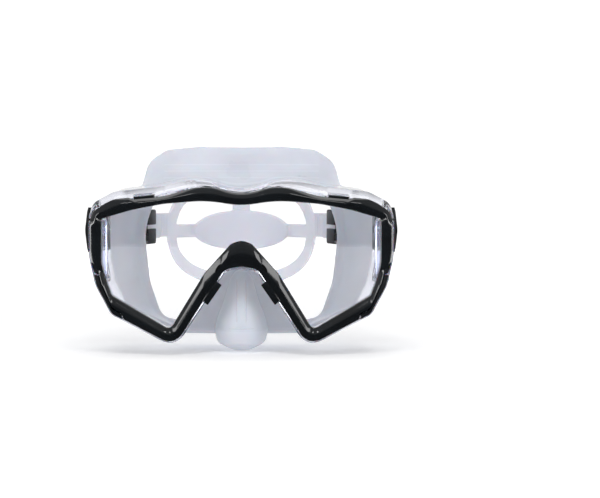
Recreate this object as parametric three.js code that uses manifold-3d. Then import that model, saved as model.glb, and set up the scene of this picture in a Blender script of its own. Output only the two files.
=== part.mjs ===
// Three-window snorkel mask with a split rear strap and two squeeze-release buckles.
// Millimetres. +Z is up, the front window faces -Y, and +X is the wearer's left.
// The origin is the centre of the face opening.
import * as THREE from 'three';
import { mergeVertices } from 'three/addons/utils/BufferGeometryUtils.js';
import { TessellateModifier } from 'three/addons/modifiers/TessellateModifier.js';
import Module from 'manifold-3d';

const wasm = await Module();
wasm.setup();

// ---- driving dimensions -------------------------------------------------------------------

// over the front rim: across, and from the brow bumps to the lowest corners
const rimWidth = 173.8;
const rimHeight = 93.1;
const gap = 0.3;

// depths, from the front of the bezel to the face seal
const bezelFrontY = -64;
const bezelThickness = 5.7;
const bezelBevel = 1.1;
const lensThickness = 3.8;
const lensSeat = 2.6;
const sealThickness = 1;
const sealWidth = 1.6;
const ledgeThickness = 2.6;
const frameShoulderY = -50;
const frameRearY = -24;
const skirtBellyY = -10;
const skirtRearY = 0;

// walls
const frameMargin = 1.2;
const frameWall = 3;
const skirtWall = 2.2;
const sealEdge = 1.5;
const sealEdgeInset = 0.8;
const pocketWall = 2;
const templeBow = 9;

// side windows
const paneThickness = 3;
const paneLength = 15.5;
const paneHeight = 35;
const paneCorner = 3;
const paneLip = 1.4;
const paneSealWidth = 0.9;
const paneRecess = 1;
const paneCentreY = -40.2;
const paneCentreZ = -3;

// snap hooks that hold the bezel on the frame
const hookLength = 12;
const hookDepth = 5;
const hookHeight = 2.2;
const hookX = 56;
const hookZ = 28.2;
const hookRoot = 2.7;
const hookLean = THREE.MathUtils.degToRad(5);

// tabs on the nose side of the window arms: their two ends, width, root in the rim and setback
const noseTabEnds = [[21.9, -31.7], [13.9, -20.2]];
const noseTabWidth = 3.2;
const noseTabRoot = 1;
const noseTabSetback = 1.6;

// clips over the lower outer corners: the part of the rim that they cover, and their section
const clipInnerX = 68;
const clipTopZ = -15.5;
const clipLowZ = -41.5;
const clipWidth = 2.6;
const clipSetback = 0.4;
const clipBevel = 0.5;

// lug, bracket and swivel on each side
const strapHeightZ = 8.5;
const lugInnerX = 76;
const lugOuterX = 89.4;
const lugDepth = 6.2;
const lugHalfHeight = 12;
const bracketPlate = 3.1;
const bracketHalfHeight = 13.6;
const bracketNeck = 2.4;
const bracketShoulder = 3.6;
const pivotX = 80.2;
const pivotY = 2;
const eyeRadius = 8;
const eyeThickness = 2.6;
const pinRadius = 2.2;
const pinHeadRadius = 3.8;
const pinHead = 0.8;
const screwRadius = 1.6;
const screwHeadRadius = 3.2;
const screwHeadDepth = 1.1;
const screwLength = 6;

// buckle, measured from the pivot along its own arm
const buckleLean = THREE.MathUtils.degToRad(16);
const shellThickness = 2.6;
const buckleLength = 50;
const cheekStart = 25;
const cheekEnd = 34.4;
const cheekThickness = 2;
const rollerAlong = 29.5;
const rollerRadius = 2.4;
const rollerTeeth = 10;
const rollerToothDepth = 0.35;
const axleRadius = 1;
const buttonThickness = 2.6;
const buttonTravel = 1;
const buttonGap = 2 * buttonTravel + 2 * gap;
const buttonEdge = 1.5;
const buttonProud = 0.25;
const buttonCorner = 2.4;
const tongueLength = 5.4;
const springRadius = 0.85;
const springWire = 0.22;
const springTurns = 3;
const springLength = 3.6;
const ribHalfHeight = 1.1;
const bridgeDepth = 3;

// strap
const bandWidth = 16;
const bandThickness = 1.8;
const bandSlack = 0.35;
const tailLength = 16;
const strapRearY = 110;
const bandReach = 40;
const rearReach = 32;
const ringHalfLength = 58;
const ringHalfHeight = 38;
const ringCentreZ = 4;
const ringBand = 8;
const ringSquareness = 0.92;
const padHalfLength = 34;
const padHalfHeight = 13.5;
const padThickness = 2.4;
const bridgeWidth = 12;
const sideBridgeWidth = 9;

// ---- materials ----------------------------------------------------------------------------

const glossBlack = { color: 0x14181c, roughness: 0.18, metalness: 0 };
const satinBlack = { color: 0x24272b, roughness: 0.45, metalness: 0 };
const clearPlastic = { color: 0xe2e4ec, roughness: 0.12, metalness: 0, transparent: true, opacity: 0.45 };
const glass = { color: 0xeef1f5, roughness: 0.05, metalness: 0, transparent: true, opacity: 0.25 };
const clearSilicone = { color: 0xd3d7e2, roughness: 0.4, metalness: 0, transparent: true, opacity: 0.7 };
const steel = { color: 0xb8babd, roughness: 0.3, metalness: 1 };

// ---- outlines in the front plane: half lists of [x, z, corner radius], top to bottom ----------

const bezelCorners = [
  [0, 29.4, 40], [21, 35.8, 40], [45, 28.9, 50], [73, 26.4, 14], [86.9, 20, 8], [86.9, -6, 40],
  [83, -22.5, 14], [74.5, -38.5, 8], [38.6, -57.3, 10], [22.6, -32.7, 30], [9.3, -12.9, 8], [0, -11.5, 6],
];
const openingCorners = [
  [0, 23.3, 60], [20, 26.6, 80], [45, 24.6, 60], [64, 20.9, 40], [80.2, 16.1, 1.2], [80.2, -10, 20],
  [77.3, -20.6, 20], [74.4, -28.2, 3], [41.2, -47.8, 3.5], [21.5, -15.5, 20], [6.2, 1.6, 6], [0, 3.9, 14],
];
const shoulderCorners = [
  [0, 31.8, 40], [25, 39.9, 40], [48, 34.6, 30], [74, 31.6, 12], [87.6, 24.5, 8], [87.6, -6, 40],
  [83.8, -23.2, 14], [75.2, -39.8, 8], [38.4, -59.2, 10], [22.2, -34.2, 30], [9, -14.2, 8], [0, -12.8, 6],
];
const rearCorners = [
  [0, 32.6, 40], [26, 40.9, 40], [50, 36, 30], [72, 33, 12], [81.2, 26, 9], [81.2, -6, 40],
  [77.6, -23, 14], [70.4, -38.6, 8], [38, -57.6, 10], [22, -33.4, 30], [9, -14, 8], [0, -12.6, 6],
];
const bellyCorners = [
  [0, 46, 20], [25, 49, 20], [46, 46.5, 20], [63, 40.5, 14], [71.5, 30, 12], [74, 0, 40],
  [71, -23, 14], [64, -41, 10], [36, -55, 12],
];
const sealCorners = [
  [0, 58.6, 30], [26, 59, 30], [46, 57.2, 12], [57.5, 49.6, 14], [61.5, 34, 20], [67, 5, 40],
  [64, -22, 30], [57, -43, 16], [36, -56, 12],
];
const faceCorners = [
  [0, 42, 30], [30, 42, 20], [50, 34, 14], [59.5, 8, 40], [56, -24, 30], [48.5, -46, 10], [22, -49, 12],
];

// nose pocket: stations of height, half width, front and back
const pocketStations = [
  [-15.5, 3, -35, -24], [-18, 5.4, -39, -21], [-24, 7.6, -43.5, -18], [-34, 10.5, -48, -13],
  [-45, 14.5, -51, -9], [-53, 15.5, -51, -8], [-59, 12.5, -48, -11], [-62.5, 5.5, -38, -19],
];

// the outlines above are drawn this wide and tall
const drawnWidth = 173.8;
const drawnHeight = 93.1;
const widthScale = rimWidth / drawnWidth;
const heightScale = rimHeight / drawnHeight;

const lensFrontY = bezelFrontY + bezelThickness + gap;
const lensBackY = lensFrontY + lensThickness;
const sealBackY = lensBackY + gap + sealThickness;
const ledgeFrontY = sealBackY + gap;
const ledgeBackY = ledgeFrontY + ledgeThickness;
const frameFrontY = bezelFrontY + bezelThickness + gap;
const skirtRimY = frameRearY + gap;

// ---- outline helpers ------------------------------------------------------------------------

// both halves of a half list, as a closed loop of corners at the mask's own width and height
function loopOf(half) {
  const sized = half.map(([x, z, r]) => ({ x: x * widthScale, z: z * heightScale, r }));
  const other = sized.filter((c) => c.x > 0).reverse().map((c) => ({ ...c, x: -c.x }));
  return [...sized, ...other];
}

// moves every side of a clockwise corner loop outward by the distance, keeping its corner count
function offsetLoop(loop, distance) {
  const sides = loop.map((c, i) => {
    const next = loop[(i + 1) % loop.length];
    const along = new THREE.Vector2(next.x - c.x, next.z - c.z).normalize();
    const out = new THREE.Vector2(-along.y, along.x);
    return { x: c.x + out.x * distance, z: c.z + out.y * distance, along };
  });
  return loop.map((c, i) => {
    const a = sides[(i + sides.length - 1) % sides.length];
    const b = sides[i];
    const cross = a.along.x * b.along.y - a.along.y * b.along.x;
    if (Math.abs(cross) < 1e-6) return { x: b.x, z: b.z, r: c.r };
    const t = ((b.x - a.x) * b.along.y - (b.z - a.z) * b.along.x) / cross;
    const r = Math.max(0.4, c.r + (cross < 0 ? distance : -distance));
    return { x: a.x + a.along.x * t, z: a.z + a.along.y * t, r };
  });
}

// rounds each corner with a quadratic curve; every corner gives the same number of points
function roundLoop(loop, steps = 3) {
  const points = [];
  loop.forEach((c, i) => {
    const here = new THREE.Vector2(c.x, c.z);
    const before = loop[(i + loop.length - 1) % loop.length];
    const after = loop[(i + 1) % loop.length];
    const back = new THREE.Vector2(before.x, before.z).sub(here);
    const ahead = new THREE.Vector2(after.x, after.z).sub(here);
    const angle = Math.acos(THREE.MathUtils.clamp(back.dot(ahead) / (back.length() * ahead.length()), -1, 1));
    const wanted = c.r / Math.tan(angle / 2);
    const reach = Math.min(Math.max(wanted, 0.2), 0.46 * Math.min(back.length(), ahead.length()));
    const start = here.clone().add(back.setLength(reach));
    const end = here.clone().add(ahead.setLength(reach));
    points.push(...new THREE.QuadraticBezierCurve(start, here, end).getPoints(steps));
  });
  return points;
}

const outline = (half, distance = 0) => roundLoop(offsetLoop(loopOf(half), distance));

function roundedRectangle(length, height, radius) {
  const x = length / 2;
  const z = height / 2;
  const r = radius;
  return roundLoop([{ x: -x, z, r }, { x, z, r }, { x, z: -z, r }, { x: -x, z: -z, r }], 3);
}

function ellipsePoints(halfLength, halfHeight, power, count) {
  return Array.from({ length: count }, (_, i) => {
    const a = (-2 * Math.PI * i) / count;
    const c = Math.cos(a);
    const s = Math.sin(a);
    const x = Math.sign(c) * Math.abs(c) ** power * halfLength;
    return new THREE.Vector2(x, Math.sign(s) * Math.abs(s) ** power * halfHeight);
  });
}

// ---- solid helpers ----------------------------------------------------------------------------

function solid(geometry) {
  const plain = geometry.clone();
  plain.deleteAttribute('normal');
  plain.deleteAttribute('uv');
  const merged = mergeVertices(plain, 1e-4);
  return new wasm.Manifold(new wasm.Mesh({
    numProp: 3,
    vertProperties: new Float32Array(merged.attributes.position.array),
    triVerts: new Uint32Array(merged.index.array),
  }));
}

function geometryOf(manifold) {
  const mesh = manifold.getMesh();
  const geometry = new THREE.BufferGeometry();
  const positions = new Float32Array(mesh.numVert * 3);
  for (let i = 0; i < mesh.numVert; i += 1) {
    for (let k = 0; k < 3; k += 1) positions[i * 3 + k] = mesh.vertProperties[i * mesh.numProp + k];
  }
  geometry.setAttribute('position', new THREE.BufferAttribute(positions, 3));
  geometry.setIndex([...mesh.triVerts]);
  return geometry;
}

const join = (...parts) => parts.reduce((sum, part) => sum.add(part));
const cut = (body, ...tools) => tools.reduce((left, tool) => left.subtract(tool), body);

// a plate in the front plane between two depths, with optional holes and a bevel on both faces
function slab(points, frontY, backY, holes = [], bevel = 0) {
  const shape = new THREE.Shape(points);
  shape.holes = holes.map((hole) => new THREE.Path([...hole].reverse()));
  const geometry = new THREE.ExtrudeGeometry(shape, {
    depth: backY - frontY - 2 * bevel,
    bevelEnabled: bevel > 0,
    bevelThickness: bevel,
    bevelSize: bevel,
    bevelOffset: -bevel,
    bevelSegments: 1,
    curveSegments: 1,
  });
  geometry.rotateX(Math.PI / 2);
  geometry.translate(0, backY - bevel, 0);
  return solid(geometry);
}

// a plan outline of [x, y] points raised between two heights
function planPlate(points, lowZ, highZ) {
  const shape = new THREE.Shape(points.map(([x, y]) => new THREE.Vector2(x, y)));
  const geometry = new THREE.ExtrudeGeometry(shape, { depth: highZ - lowZ, bevelEnabled: false });
  geometry.translate(0, 0, lowZ);
  return geometry;
}

// a side outline of (y, z) points carried across from one x to another
function sidePlate(points, lowX, highX) {
  const shape = new THREE.Shape(points);
  const geometry = new THREE.ExtrudeGeometry(shape, { depth: highX - lowX, bevelEnabled: false });
  geometry.rotateX(Math.PI / 2);
  geometry.rotateZ(Math.PI / 2);
  geometry.translate(lowX, 0, 0);
  return geometry;
}

function box(lowX, highX, lowY, highY, lowZ, highZ) {
  const geometry = new THREE.BoxGeometry(highX - lowX, highY - lowY, highZ - lowZ);
  geometry.translate((lowX + highX) / 2, (lowY + highY) / 2, (lowZ + highZ) / 2);
  return geometry;
}

// a turned piece about X, from [distance along X, radius] pairs
function turnedX(profile, sides = 20) {
  const geometry = new THREE.LatheGeometry(profile.map(([x, r]) => new THREE.Vector2(r, x)), sides);
  geometry.rotateZ(-Math.PI / 2);
  return geometry;
}

function turnedZ(profile, sides = 16) {
  const geometry = new THREE.LatheGeometry(profile.map(([z, r]) => new THREE.Vector2(r, z)), sides);
  geometry.rotateX(Math.PI / 2);
  return geometry;
}

// triangles across a ring, turned the way the ring runs
function capFaces(ring) {
  const span = (axis) => Math.max(...ring.map((p) => p[axis])) - Math.min(...ring.map((p) => p[axis]));
  const upright = span('z') > span('y');
  const flat = ring.map((p) => new THREE.Vector2(p.x, upright ? p.z : p.y));
  const faces = THREE.ShapeUtils.triangulateShape(flat, []);
  const covered = faces.reduce((sum, face) => sum + THREE.ShapeUtils.area(face.map((i) => flat[i])), 0);
  return covered * THREE.ShapeUtils.area(flat) > 0 ? faces : faces.map(([a, b, c]) => [a, c, b]);
}

// a closed skin through rings of equal length, each an array of Vector3
function loft(rings) {
  const count = rings[0].length;
  const positions = rings.flat().flatMap((p) => [p.x, p.y, p.z]);
  const index = [];
  for (let k = 0; k + 1 < rings.length; k += 1) {
    for (let i = 0; i < count; i += 1) {
      const j = (i + 1) % count;
      index.push(k * count + i, k * count + j, (k + 1) * count + j);
      index.push(k * count + i, (k + 1) * count + j, (k + 1) * count + i);
    }
  }
  const last = (rings.length - 1) * count;
  for (const [a, b, c] of capFaces(rings[0])) index.push(a, c, b);
  for (const [a, b, c] of capFaces(rings.at(-1))) index.push(last + a, last + b, last + c);
  const geometry = new THREE.BufferGeometry();
  geometry.setAttribute('position', new THREE.BufferAttribute(new Float32Array(positions), 3));
  geometry.setIndex(index);
  return signedVolume(geometry) < 0 ? flipped(geometry) : geometry;
}

function signedVolume(geometry) {
  const p = geometry.attributes.position;
  const index = geometry.index.array;
  let sum = 0;
  const [a, b, c] = [new THREE.Vector3(), new THREE.Vector3(), new THREE.Vector3()];
  for (let i = 0; i < index.length; i += 3) {
    a.fromBufferAttribute(p, index[i]);
    b.fromBufferAttribute(p, index[i + 1]);
    c.fromBufferAttribute(p, index[i + 2]);
    sum += a.dot(b.cross(c));
  }
  return sum;
}

function flipped(geometry) {
  const index = [...geometry.index.array];
  for (let i = 0; i < index.length; i += 3) [index[i + 1], index[i + 2]] = [index[i + 2], index[i + 1]];
  geometry.setIndex(index);
  return geometry;
}

const sectionAt = (points, y) => points.map((p) => new THREE.Vector3(p.x, y, p.y));

// the same piece on the other side of the mask
function mirrored(geometry) {
  const other = geometry.index ? geometry.clone() : mergeVertices(geometry.clone());
  other.scale(-1, 1, 1);
  return flipped(other);
}

// ---- front: bezel, clips, windows, seals and frame ------------------------------------------------

// the lower outer corner of the bezel, where a clip takes the place of the rim
const clipRegion = (grow) => solid(box(clipInnerX * widthScale - grow, rimWidth, bezelFrontY - 1, 0,
  clipLowZ * heightScale - grow, clipTopZ * heightScale + grow));

function clipBand(inner, outer) {
  return slab(outline(bezelCorners, outer), bezelFrontY, bezelFrontY + bezelThickness,
    [outline(bezelCorners, -inner)]);
}

const bothSides = (one) => join(one, solid(mirrored(geometryOf(one))));

function snapHook(grow) {
  const length = hookLength + 2 * grow;
  const height = hookHeight + 2 * grow;
  const rootY = bezelFrontY + bezelThickness - hookRoot;
  const backY = frameFrontY + hookDepth + grow;
  const hook = box(-length / 2, length / 2, rootY, backY, -height / 2, height / 2);
  hook.rotateY(hookLean);
  hook.translate(hookX * widthScale, 0, hookZ * heightScale);
  return hook;
}

// the tab on the nose side of each window arm
function noseTab() {
  const [low, high] = noseTabEnds.map(([x, z]) => new THREE.Vector2(x * widthScale, z * heightScale));
  const arm = high.clone().sub(low);
  const half = arm.length() / 2;
  const backY = bezelFrontY + bezelThickness;
  const tab = box(-half, half, bezelFrontY + noseTabSetback, backY, -noseTabWidth, noseTabRoot);
  tab.rotateY(-arm.angle() + Math.PI);
  tab.translate((low.x + high.x) / 2, 0, (low.y + high.y) / 2);
  return tab;
}

function frontBezel() {
  const ring = slab(outline(bezelCorners), bezelFrontY, bezelFrontY + bezelThickness,
    [outline(openingCorners)], bezelBevel);
  const recess = clipBand(clipWidth + gap, 2).intersect(clipRegion(gap));
  return cut(join(ring, bothSides(solid(noseTab())), bothSides(solid(snapHook(0)))), bothSides(recess));
}

function cornerClip() {
  const band = slab(outline(bezelCorners), bezelFrontY + clipSetback, bezelFrontY + bezelThickness,
    [outline(bezelCorners, -clipWidth)], clipBevel);
  return band.intersect(clipRegion(0));
}

const frontLens = () => slab(outline(openingCorners, lensSeat), lensFrontY, lensBackY);

function frontSeal() {
  const outer = lensSeat - gap;
  const hole = outline(openingCorners, outer - sealWidth);
  return slab(outline(openingCorners, outer), lensBackY + gap, sealBackY, [hole]);
}

// the side window's own frame: x across the wall, outward; y along it
function paneFrame(geometry) {
  const wallY = frameRearY - frameShoulderY;
  const lean = Math.atan2((shoulderCorners[5][0] - rearCorners[5][0]) * widthScale, wallY);
  const share = (paneCentreY - frameShoulderY) / wallY;
  const outerX = THREE.MathUtils.lerp(shoulderCorners[5][0], rearCorners[5][0], share) * widthScale;
  geometry.rotateZ(lean);
  geometry.translate(outerX - paneRecess, paneCentreY, paneCentreZ * heightScale);
  return geometry;
}

const paneOutline = (grow) => roundedRectangle(
  paneLength + 2 * grow, paneHeight * heightScale + 2 * grow, paneCorner + grow);

function sideWindowCut() {
  const seat = paneSealWidth + 2 * gap;
  const through = solid(paneFrame(sidePlate(paneOutline(-paneLip), -16, 16)));
  const rebate = solid(paneFrame(sidePlate(paneOutline(seat), -paneThickness - gap, 16)));
  return join(through, rebate);
}

const sidePane = () => paneFrame(sidePlate(paneOutline(0), -paneThickness, 0));

function sideSeal() {
  const outer = solid(sidePlate(paneOutline(gap + paneSealWidth), -paneThickness, 0));
  const inner = solid(sidePlate(paneOutline(gap), -paneThickness - 1, 1));
  return paneFrame(geometryOf(cut(outer, inner)));
}

// screw seat on the outer face of each lug
const screwY = frameRearY - lugDepth / 2;

function frameLug() {
  const lug = box(lugInnerX * widthScale, lugOuterX * widthScale, frameRearY - lugDepth, frameRearY,
    strapHeightZ - lugHalfHeight, strapHeightZ + lugHalfHeight);
  return solid(lug);
}

function mainFrame() {
  const outer = solid(loft([
    sectionAt(outline(bezelCorners, frameMargin), frameFrontY),
    sectionAt(outline(shoulderCorners), frameShoulderY),
    sectionAt(outline(rearCorners), frameRearY),
  ]));
  const rebate = slab(outline(openingCorners, lensSeat + gap), frameFrontY - 1, ledgeFrontY);
  const ledge = slab(outline(openingCorners, gap), ledgeFrontY - 1, ledgeBackY + 1);
  const cavity = solid(loft([
    sectionAt(outline(openingCorners, lensSeat), ledgeBackY),
    sectionAt(outline(rearCorners, -frameWall), frameRearY),
    sectionAt(outline(rearCorners, -frameWall), frameRearY + 2),
  ]));
  const hole = solid(turnedX([[-8, 0], [-8, screwRadius + gap], [4, screwRadius + gap], [4, 0]]));
  const screwHole = hole.translate(lugOuterX * widthScale, screwY, strapHeightZ);
  const slots = bothSides(solid(snapHook(gap)));
  const body = join(cut(outer, bothSides(sideWindowCut())), bothSides(frameLug()));
  return cut(body, rebate, ledge, cavity, slots, bothSides(screwHole));
}

// ---- skirt ----------------------------------------------------------------------------------------

function pocket(inset) {
  const last = pocketStations.length - 1;
  return solid(loft(pocketStations.map(([z, half, front, back], i) => {
    const height = z + (i === 0 ? -inset : 0) + (i === last ? inset : 0);
    const halfDepth = (back - front) / 2 - inset;
    const ring = ellipsePoints((half - inset) * widthScale, halfDepth, 0.9, 20);
    return ring.map((p) => new THREE.Vector3(p.x, (front + back) / 2 + p.y, height * heightScale));
  })));
}

// the temples reach farther back than the forehead and the lip
function bowTemples(geometry) {
  const p = geometry.attributes.position;
  for (let i = 0; i < p.count; i += 1) {
    const along = THREE.MathUtils.smoothstep(p.getY(i), skirtRimY, skirtRearY);
    const out = p.getX(i) / (sealCorners[5][0] * widthScale);
    p.setY(i, p.getY(i) + templeBow * along * out * out);
  }
  return geometry;
}

const rimCorners = [...rearCorners.slice(0, 8), [36, -53.5, 10]];

function skirt() {
  const outer = solid(loft([
    sectionAt(outline(rimCorners, -gap), skirtRimY),
    sectionAt(outline(bellyCorners), skirtBellyY),
    sectionAt(outline(sealCorners), skirtRearY - sealEdge),
    sectionAt(outline(sealCorners, -sealEdgeInset), skirtRearY),
  ]));
  const inner = solid(loft([
    sectionAt(outline(rimCorners, -gap - skirtWall), skirtRimY + skirtWall),
    sectionAt(outline(bellyCorners, -skirtWall), skirtBellyY),
    sectionAt(outline(sealCorners, -skirtWall), skirtRearY - skirtWall),
  ]));
  const windows = slab(outline(rearCorners, -frameWall), skirtRimY - 1, skirtRimY + skirtWall + 1);
  const face = slab(outline(faceCorners), skirtRearY - skirtWall - 1, skirtRearY + 1);
  const shell = cut(join(outer, pocket(0)), inner, windows, face, pocket(pocketWall));
  return bowTemples(geometryOf(shell));
}

// ---- brackets and swivels on the wearer's left side ------------------------------------------------

const bracketOuterX = lugOuterX * widthScale + gap + bracketPlate;
const eyeFaceX = pivotX * widthScale;

function sideBracket() {
  const innerX = lugOuterX * widthScale + gap;
  const step = pivotY - eyeRadius - 1;
  const eyeOuter = eyeFaceX - gap / 2;
  const eyeInner = eyeOuter - eyeThickness;
  const plan = [
    [innerX, frameRearY - lugDepth - 1.5], [bracketOuterX, frameRearY - lugDepth - 0.5],
    [bracketOuterX, frameRearY - 1], [eyeFaceX + bracketShoulder, step - 1], [eyeFaceX + bracketNeck, step],
    [eyeOuter, step], [eyeOuter, pivotY + eyeRadius], [eyeInner, pivotY + eyeRadius], [eyeInner, step - 1],
    [innerX, frameRearY + 1],
  ];
  const plate = solid(planPlate(plan, -bracketHalfHeight, bracketHalfHeight));
  const side = new THREE.Shape();
  side.moveTo(pivotY, eyeRadius);
  side.absarc(pivotY, 0, eyeRadius, Math.PI / 2, -Math.PI / 2, true);
  side.lineTo(step - 2, -eyeRadius - 1);
  side.quadraticCurveTo(frameRearY, -bracketHalfHeight, frameRearY - lugDepth, -bracketHalfHeight + 0.6);
  side.quadraticCurveTo(frameRearY - lugDepth - 3, 0, frameRearY - lugDepth, bracketHalfHeight);
  side.quadraticCurveTo(frameRearY, bracketHalfHeight, step - 2, eyeRadius + 1);
  const trim = solid(sidePlate(side.getPoints(8), 60 * widthScale, bracketOuterX + 5));
  const eyeHole = solid(turnedX([[-20, 0], [-20, pinRadius + gap], [20, pinRadius + gap], [20, 0]]));
  const screwHole = solid(turnedX([
    [-screwLength - 3, 0], [-screwLength - 3, screwRadius + gap], [-screwHeadDepth - gap, screwRadius + gap],
    [-screwHeadDepth - gap, screwHeadRadius + gap], [4, screwHeadRadius + gap], [4, 0],
  ]));
  const holes = [eyeHole.translate(eyeFaceX, pivotY, 0), screwHole.translate(bracketOuterX, screwY, 0)];
  return cut(plate.intersect(trim), ...holes);
}

function bracketScrew() {
  const tip = -screwLength - screwHeadDepth;
  const profile = [
    [tip, 0], [tip, screwRadius], [-screwHeadDepth, screwRadius], [-screwHeadDepth, screwHeadRadius],
    [0, screwHeadRadius - 0.5], [0, 0],
  ];
  return turnedX(profile, 16).translate(bracketOuterX, screwY, 0);
}

function pivotPin() {
  const half = gap / 2 + eyeThickness + gap;
  const profile = [
    [-half - pinHead, 0], [-half - pinHead, pinHeadRadius], [-half, pinHeadRadius], [-half, pinRadius],
    [half, pinRadius], [half, pinHeadRadius], [half + pinHead, pinHeadRadius - 0.5], [half + pinHead, 0],
  ];
  return turnedX(profile, 18);
}

// ---- buckle: x outward from the shell's inner face, y back along the arm, z from its mid height --------

const rollerX = -(bandThickness + 2 * gap + rollerRadius);
const buttonOuterX = rollerX - rollerRadius - gap - bandThickness - gap;
const buttonInnerX = buttonOuterX - buttonThickness;
const cheekInnerZ = bandWidth / 2 + gap + bandSlack;
const buckleHalfHeight = cheekInnerZ + cheekThickness;

// turns a piece made along the arm into the swivel's own axes
const leaned = (geometry) => geometry.rotateZ(buckleLean);

function armPoint(out, along) {
  const c = Math.cos(buckleLean);
  const s = Math.sin(buckleLean);
  return [out * c - along * s, out * s + along * c];
}

function buckleBody() {
  const plan = [
    [gap / 2, -eyeRadius], [gap / 2 + eyeThickness, -eyeRadius],
    [gap / 2 + eyeThickness, 6], armPoint(shellThickness, 15),
    armPoint(shellThickness, buckleLength - 4), armPoint(shellThickness - 1.4, buckleLength),
    armPoint(0, buckleLength), armPoint(0, 13), [gap / 2, eyeRadius + 1.4],
  ];
  const shell = solid(planPlate(plan, -buckleHalfHeight, buckleHalfHeight));
  const side = new THREE.Shape();
  side.moveTo(0, eyeRadius);
  side.absarc(0, 0, eyeRadius, Math.PI / 2, Math.PI * 1.5, false);
  side.lineTo(5, -eyeRadius);
  side.quadraticCurveTo(12, -buckleHalfHeight, 20, -buckleHalfHeight);
  side.lineTo(buckleLength - 6, -buckleHalfHeight);
  side.quadraticCurveTo(buckleLength - 2, -buckleHalfHeight, buckleLength - 2, 0);
  side.quadraticCurveTo(buckleLength - 2, buckleHalfHeight, buckleLength - 6, buckleHalfHeight);
  side.lineTo(20, buckleHalfHeight);
  side.quadraticCurveTo(12, buckleHalfHeight, 5, eyeRadius);
  const trimmed = shell.intersect(solid(sidePlate(side.getPoints(6), -60, 20)));
  const cheek = (sign) => {
    const low = Math.min(sign * cheekInnerZ, sign * (cheekInnerZ + cheekThickness));
    return solid(leaned(box(buttonInnerX, 0.5, cheekStart, cheekEnd, low, low + cheekThickness)));
  };
  const inner = (startY, endY, half) => {
    const block = box(buttonInnerX, buttonOuterX, startY, endY, -half, half);
    return solid(leaned(block));
  };
  const bridge = inner(cheekStart - bridgeDepth, cheekStart + 2.2, cheekInnerZ + 1);
  const rib = inner(cheekStart, cheekEnd - 0.6, ribHalfHeight);
  const bore = solid(turnedZ([[-20, 0], [-20, axleRadius + gap / 2], [20, axleRadius + gap / 2], [20, 0]], 12)
    .translate(rollerX, rollerAlong, 0).rotateZ(buckleLean));
  const eyeHole = solid(turnedX([[-20, 0], [-20, pinRadius + gap], [20, pinRadius + gap], [20, 0]]));
  return cut(join(trimmed, cheek(1), cheek(-1), bridge, rib), bore, eyeHole);
}

function rollerAxle() {
  const half = buckleHalfHeight;
  const profile = [[-half, 0], [-half, axleRadius], [half, axleRadius], [half, 0]];
  return leaned(turnedZ(profile, 12).translate(rollerX, rollerAlong, 0));
}

function strapRoller() {
  const half = bandWidth / 2;
  const rim = Array.from({ length: rollerTeeth * 2 }, (_, i) => {
    const a = (Math.PI * i) / rollerTeeth;
    const r = rollerRadius - (i % 2 ? rollerToothDepth : 0);
    return [r * Math.cos(a), r * Math.sin(a)];
  });
  const body = solid(planPlate(rim, -half, half));
  const bore = solid(turnedZ([[-20, 0], [-20, axleRadius + gap], [20, axleRadius + gap], [20, 0]], 12));
  return leaned(geometryOf(cut(body, bore)).translate(rollerX, rollerAlong, 0));
}

// the upper squeeze button: a finger plate over the strap, an edge to press and a tongue on the spring
function squeezeButton() {
  const front = cheekEnd + gap;
  const top = buckleHalfHeight + buttonProud;
  const face = new THREE.Shape();
  face.moveTo(front, buttonGap / 2);
  face.lineTo(buckleLength, buttonGap / 2);
  face.lineTo(buckleLength, top - buttonCorner);
  face.quadraticCurveTo(buckleLength, top, buckleLength - buttonCorner, top);
  face.lineTo(front, top);
  const plate = solid(sidePlate(face.getPoints(4), buttonInnerX, buttonOuterX));
  const edge = solid(box(buttonOuterX - 0.5, -gap, front, buckleLength - buttonCorner, top - buttonEdge, top));
  const low = ribHalfHeight + gap + springLength;
  const high = cheekInnerZ - 2 * gap;
  const tongue = solid(box(buttonInnerX + 0.2, buttonOuterX, front - tongueLength, front + 1, low, high));
  return leaned(geometryOf(join(plate, edge, tongue)));
}

const springLow = ribHalfHeight + gap / 2;
const springHigh = springLow + springLength;

// the coil between the buckle's rib and the button's tongue
function buttonSpring() {
  const alongY = cheekEnd + gap - tongueLength / 2;
  const rise = springHigh - springLow - 2 * springWire;
  class Helix extends THREE.Curve {
    getPoint(t) {
      const a = 2 * Math.PI * springTurns * t;
      const [x, y] = [springRadius * Math.cos(a), springRadius * Math.sin(a)];
      return new THREE.Vector3(x, y, springLow + springWire + rise * t);
    }
  }
  const section = new THREE.Shape(Array.from({ length: 5 }, (_, i) => {
    const a = (2 * Math.PI * i) / 5;
    return new THREE.Vector2(springWire * Math.cos(a), springWire * Math.sin(a));
  }));
  const coil = new THREE.ExtrudeGeometry(section, { steps: springTurns * 10, extrudePath: new Helix() });
  return leaned(coil.translate((buttonInnerX + buttonOuterX) / 2, alongY, 0));
}

const upsideDown = (geometry) => {
  const other = geometry.index ? geometry.clone() : mergeVertices(geometry.clone());
  other.scale(1, 1, -1);
  return flipped(other);
};

// ---- strap ----------------------------------------------------------------------------------------------

// plan curve of the strap on the wearer's left: from the rear centre to the buckle's rear end
function strapCurve() {
  const bandX = -gap - bandThickness / 2;
  const start = armPoint(bandX, buckleLength);
  const end = armPoint(bandX, buckleLength + bandReach);
  const placed = ([x, y]) => new THREE.Vector2(x + eyeFaceX, y + pivotY);
  return new THREE.CubicBezierCurve(
    new THREE.Vector2(0, strapRearY), new THREE.Vector2(rearReach, strapRearY), placed(end), placed(start));
}

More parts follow.
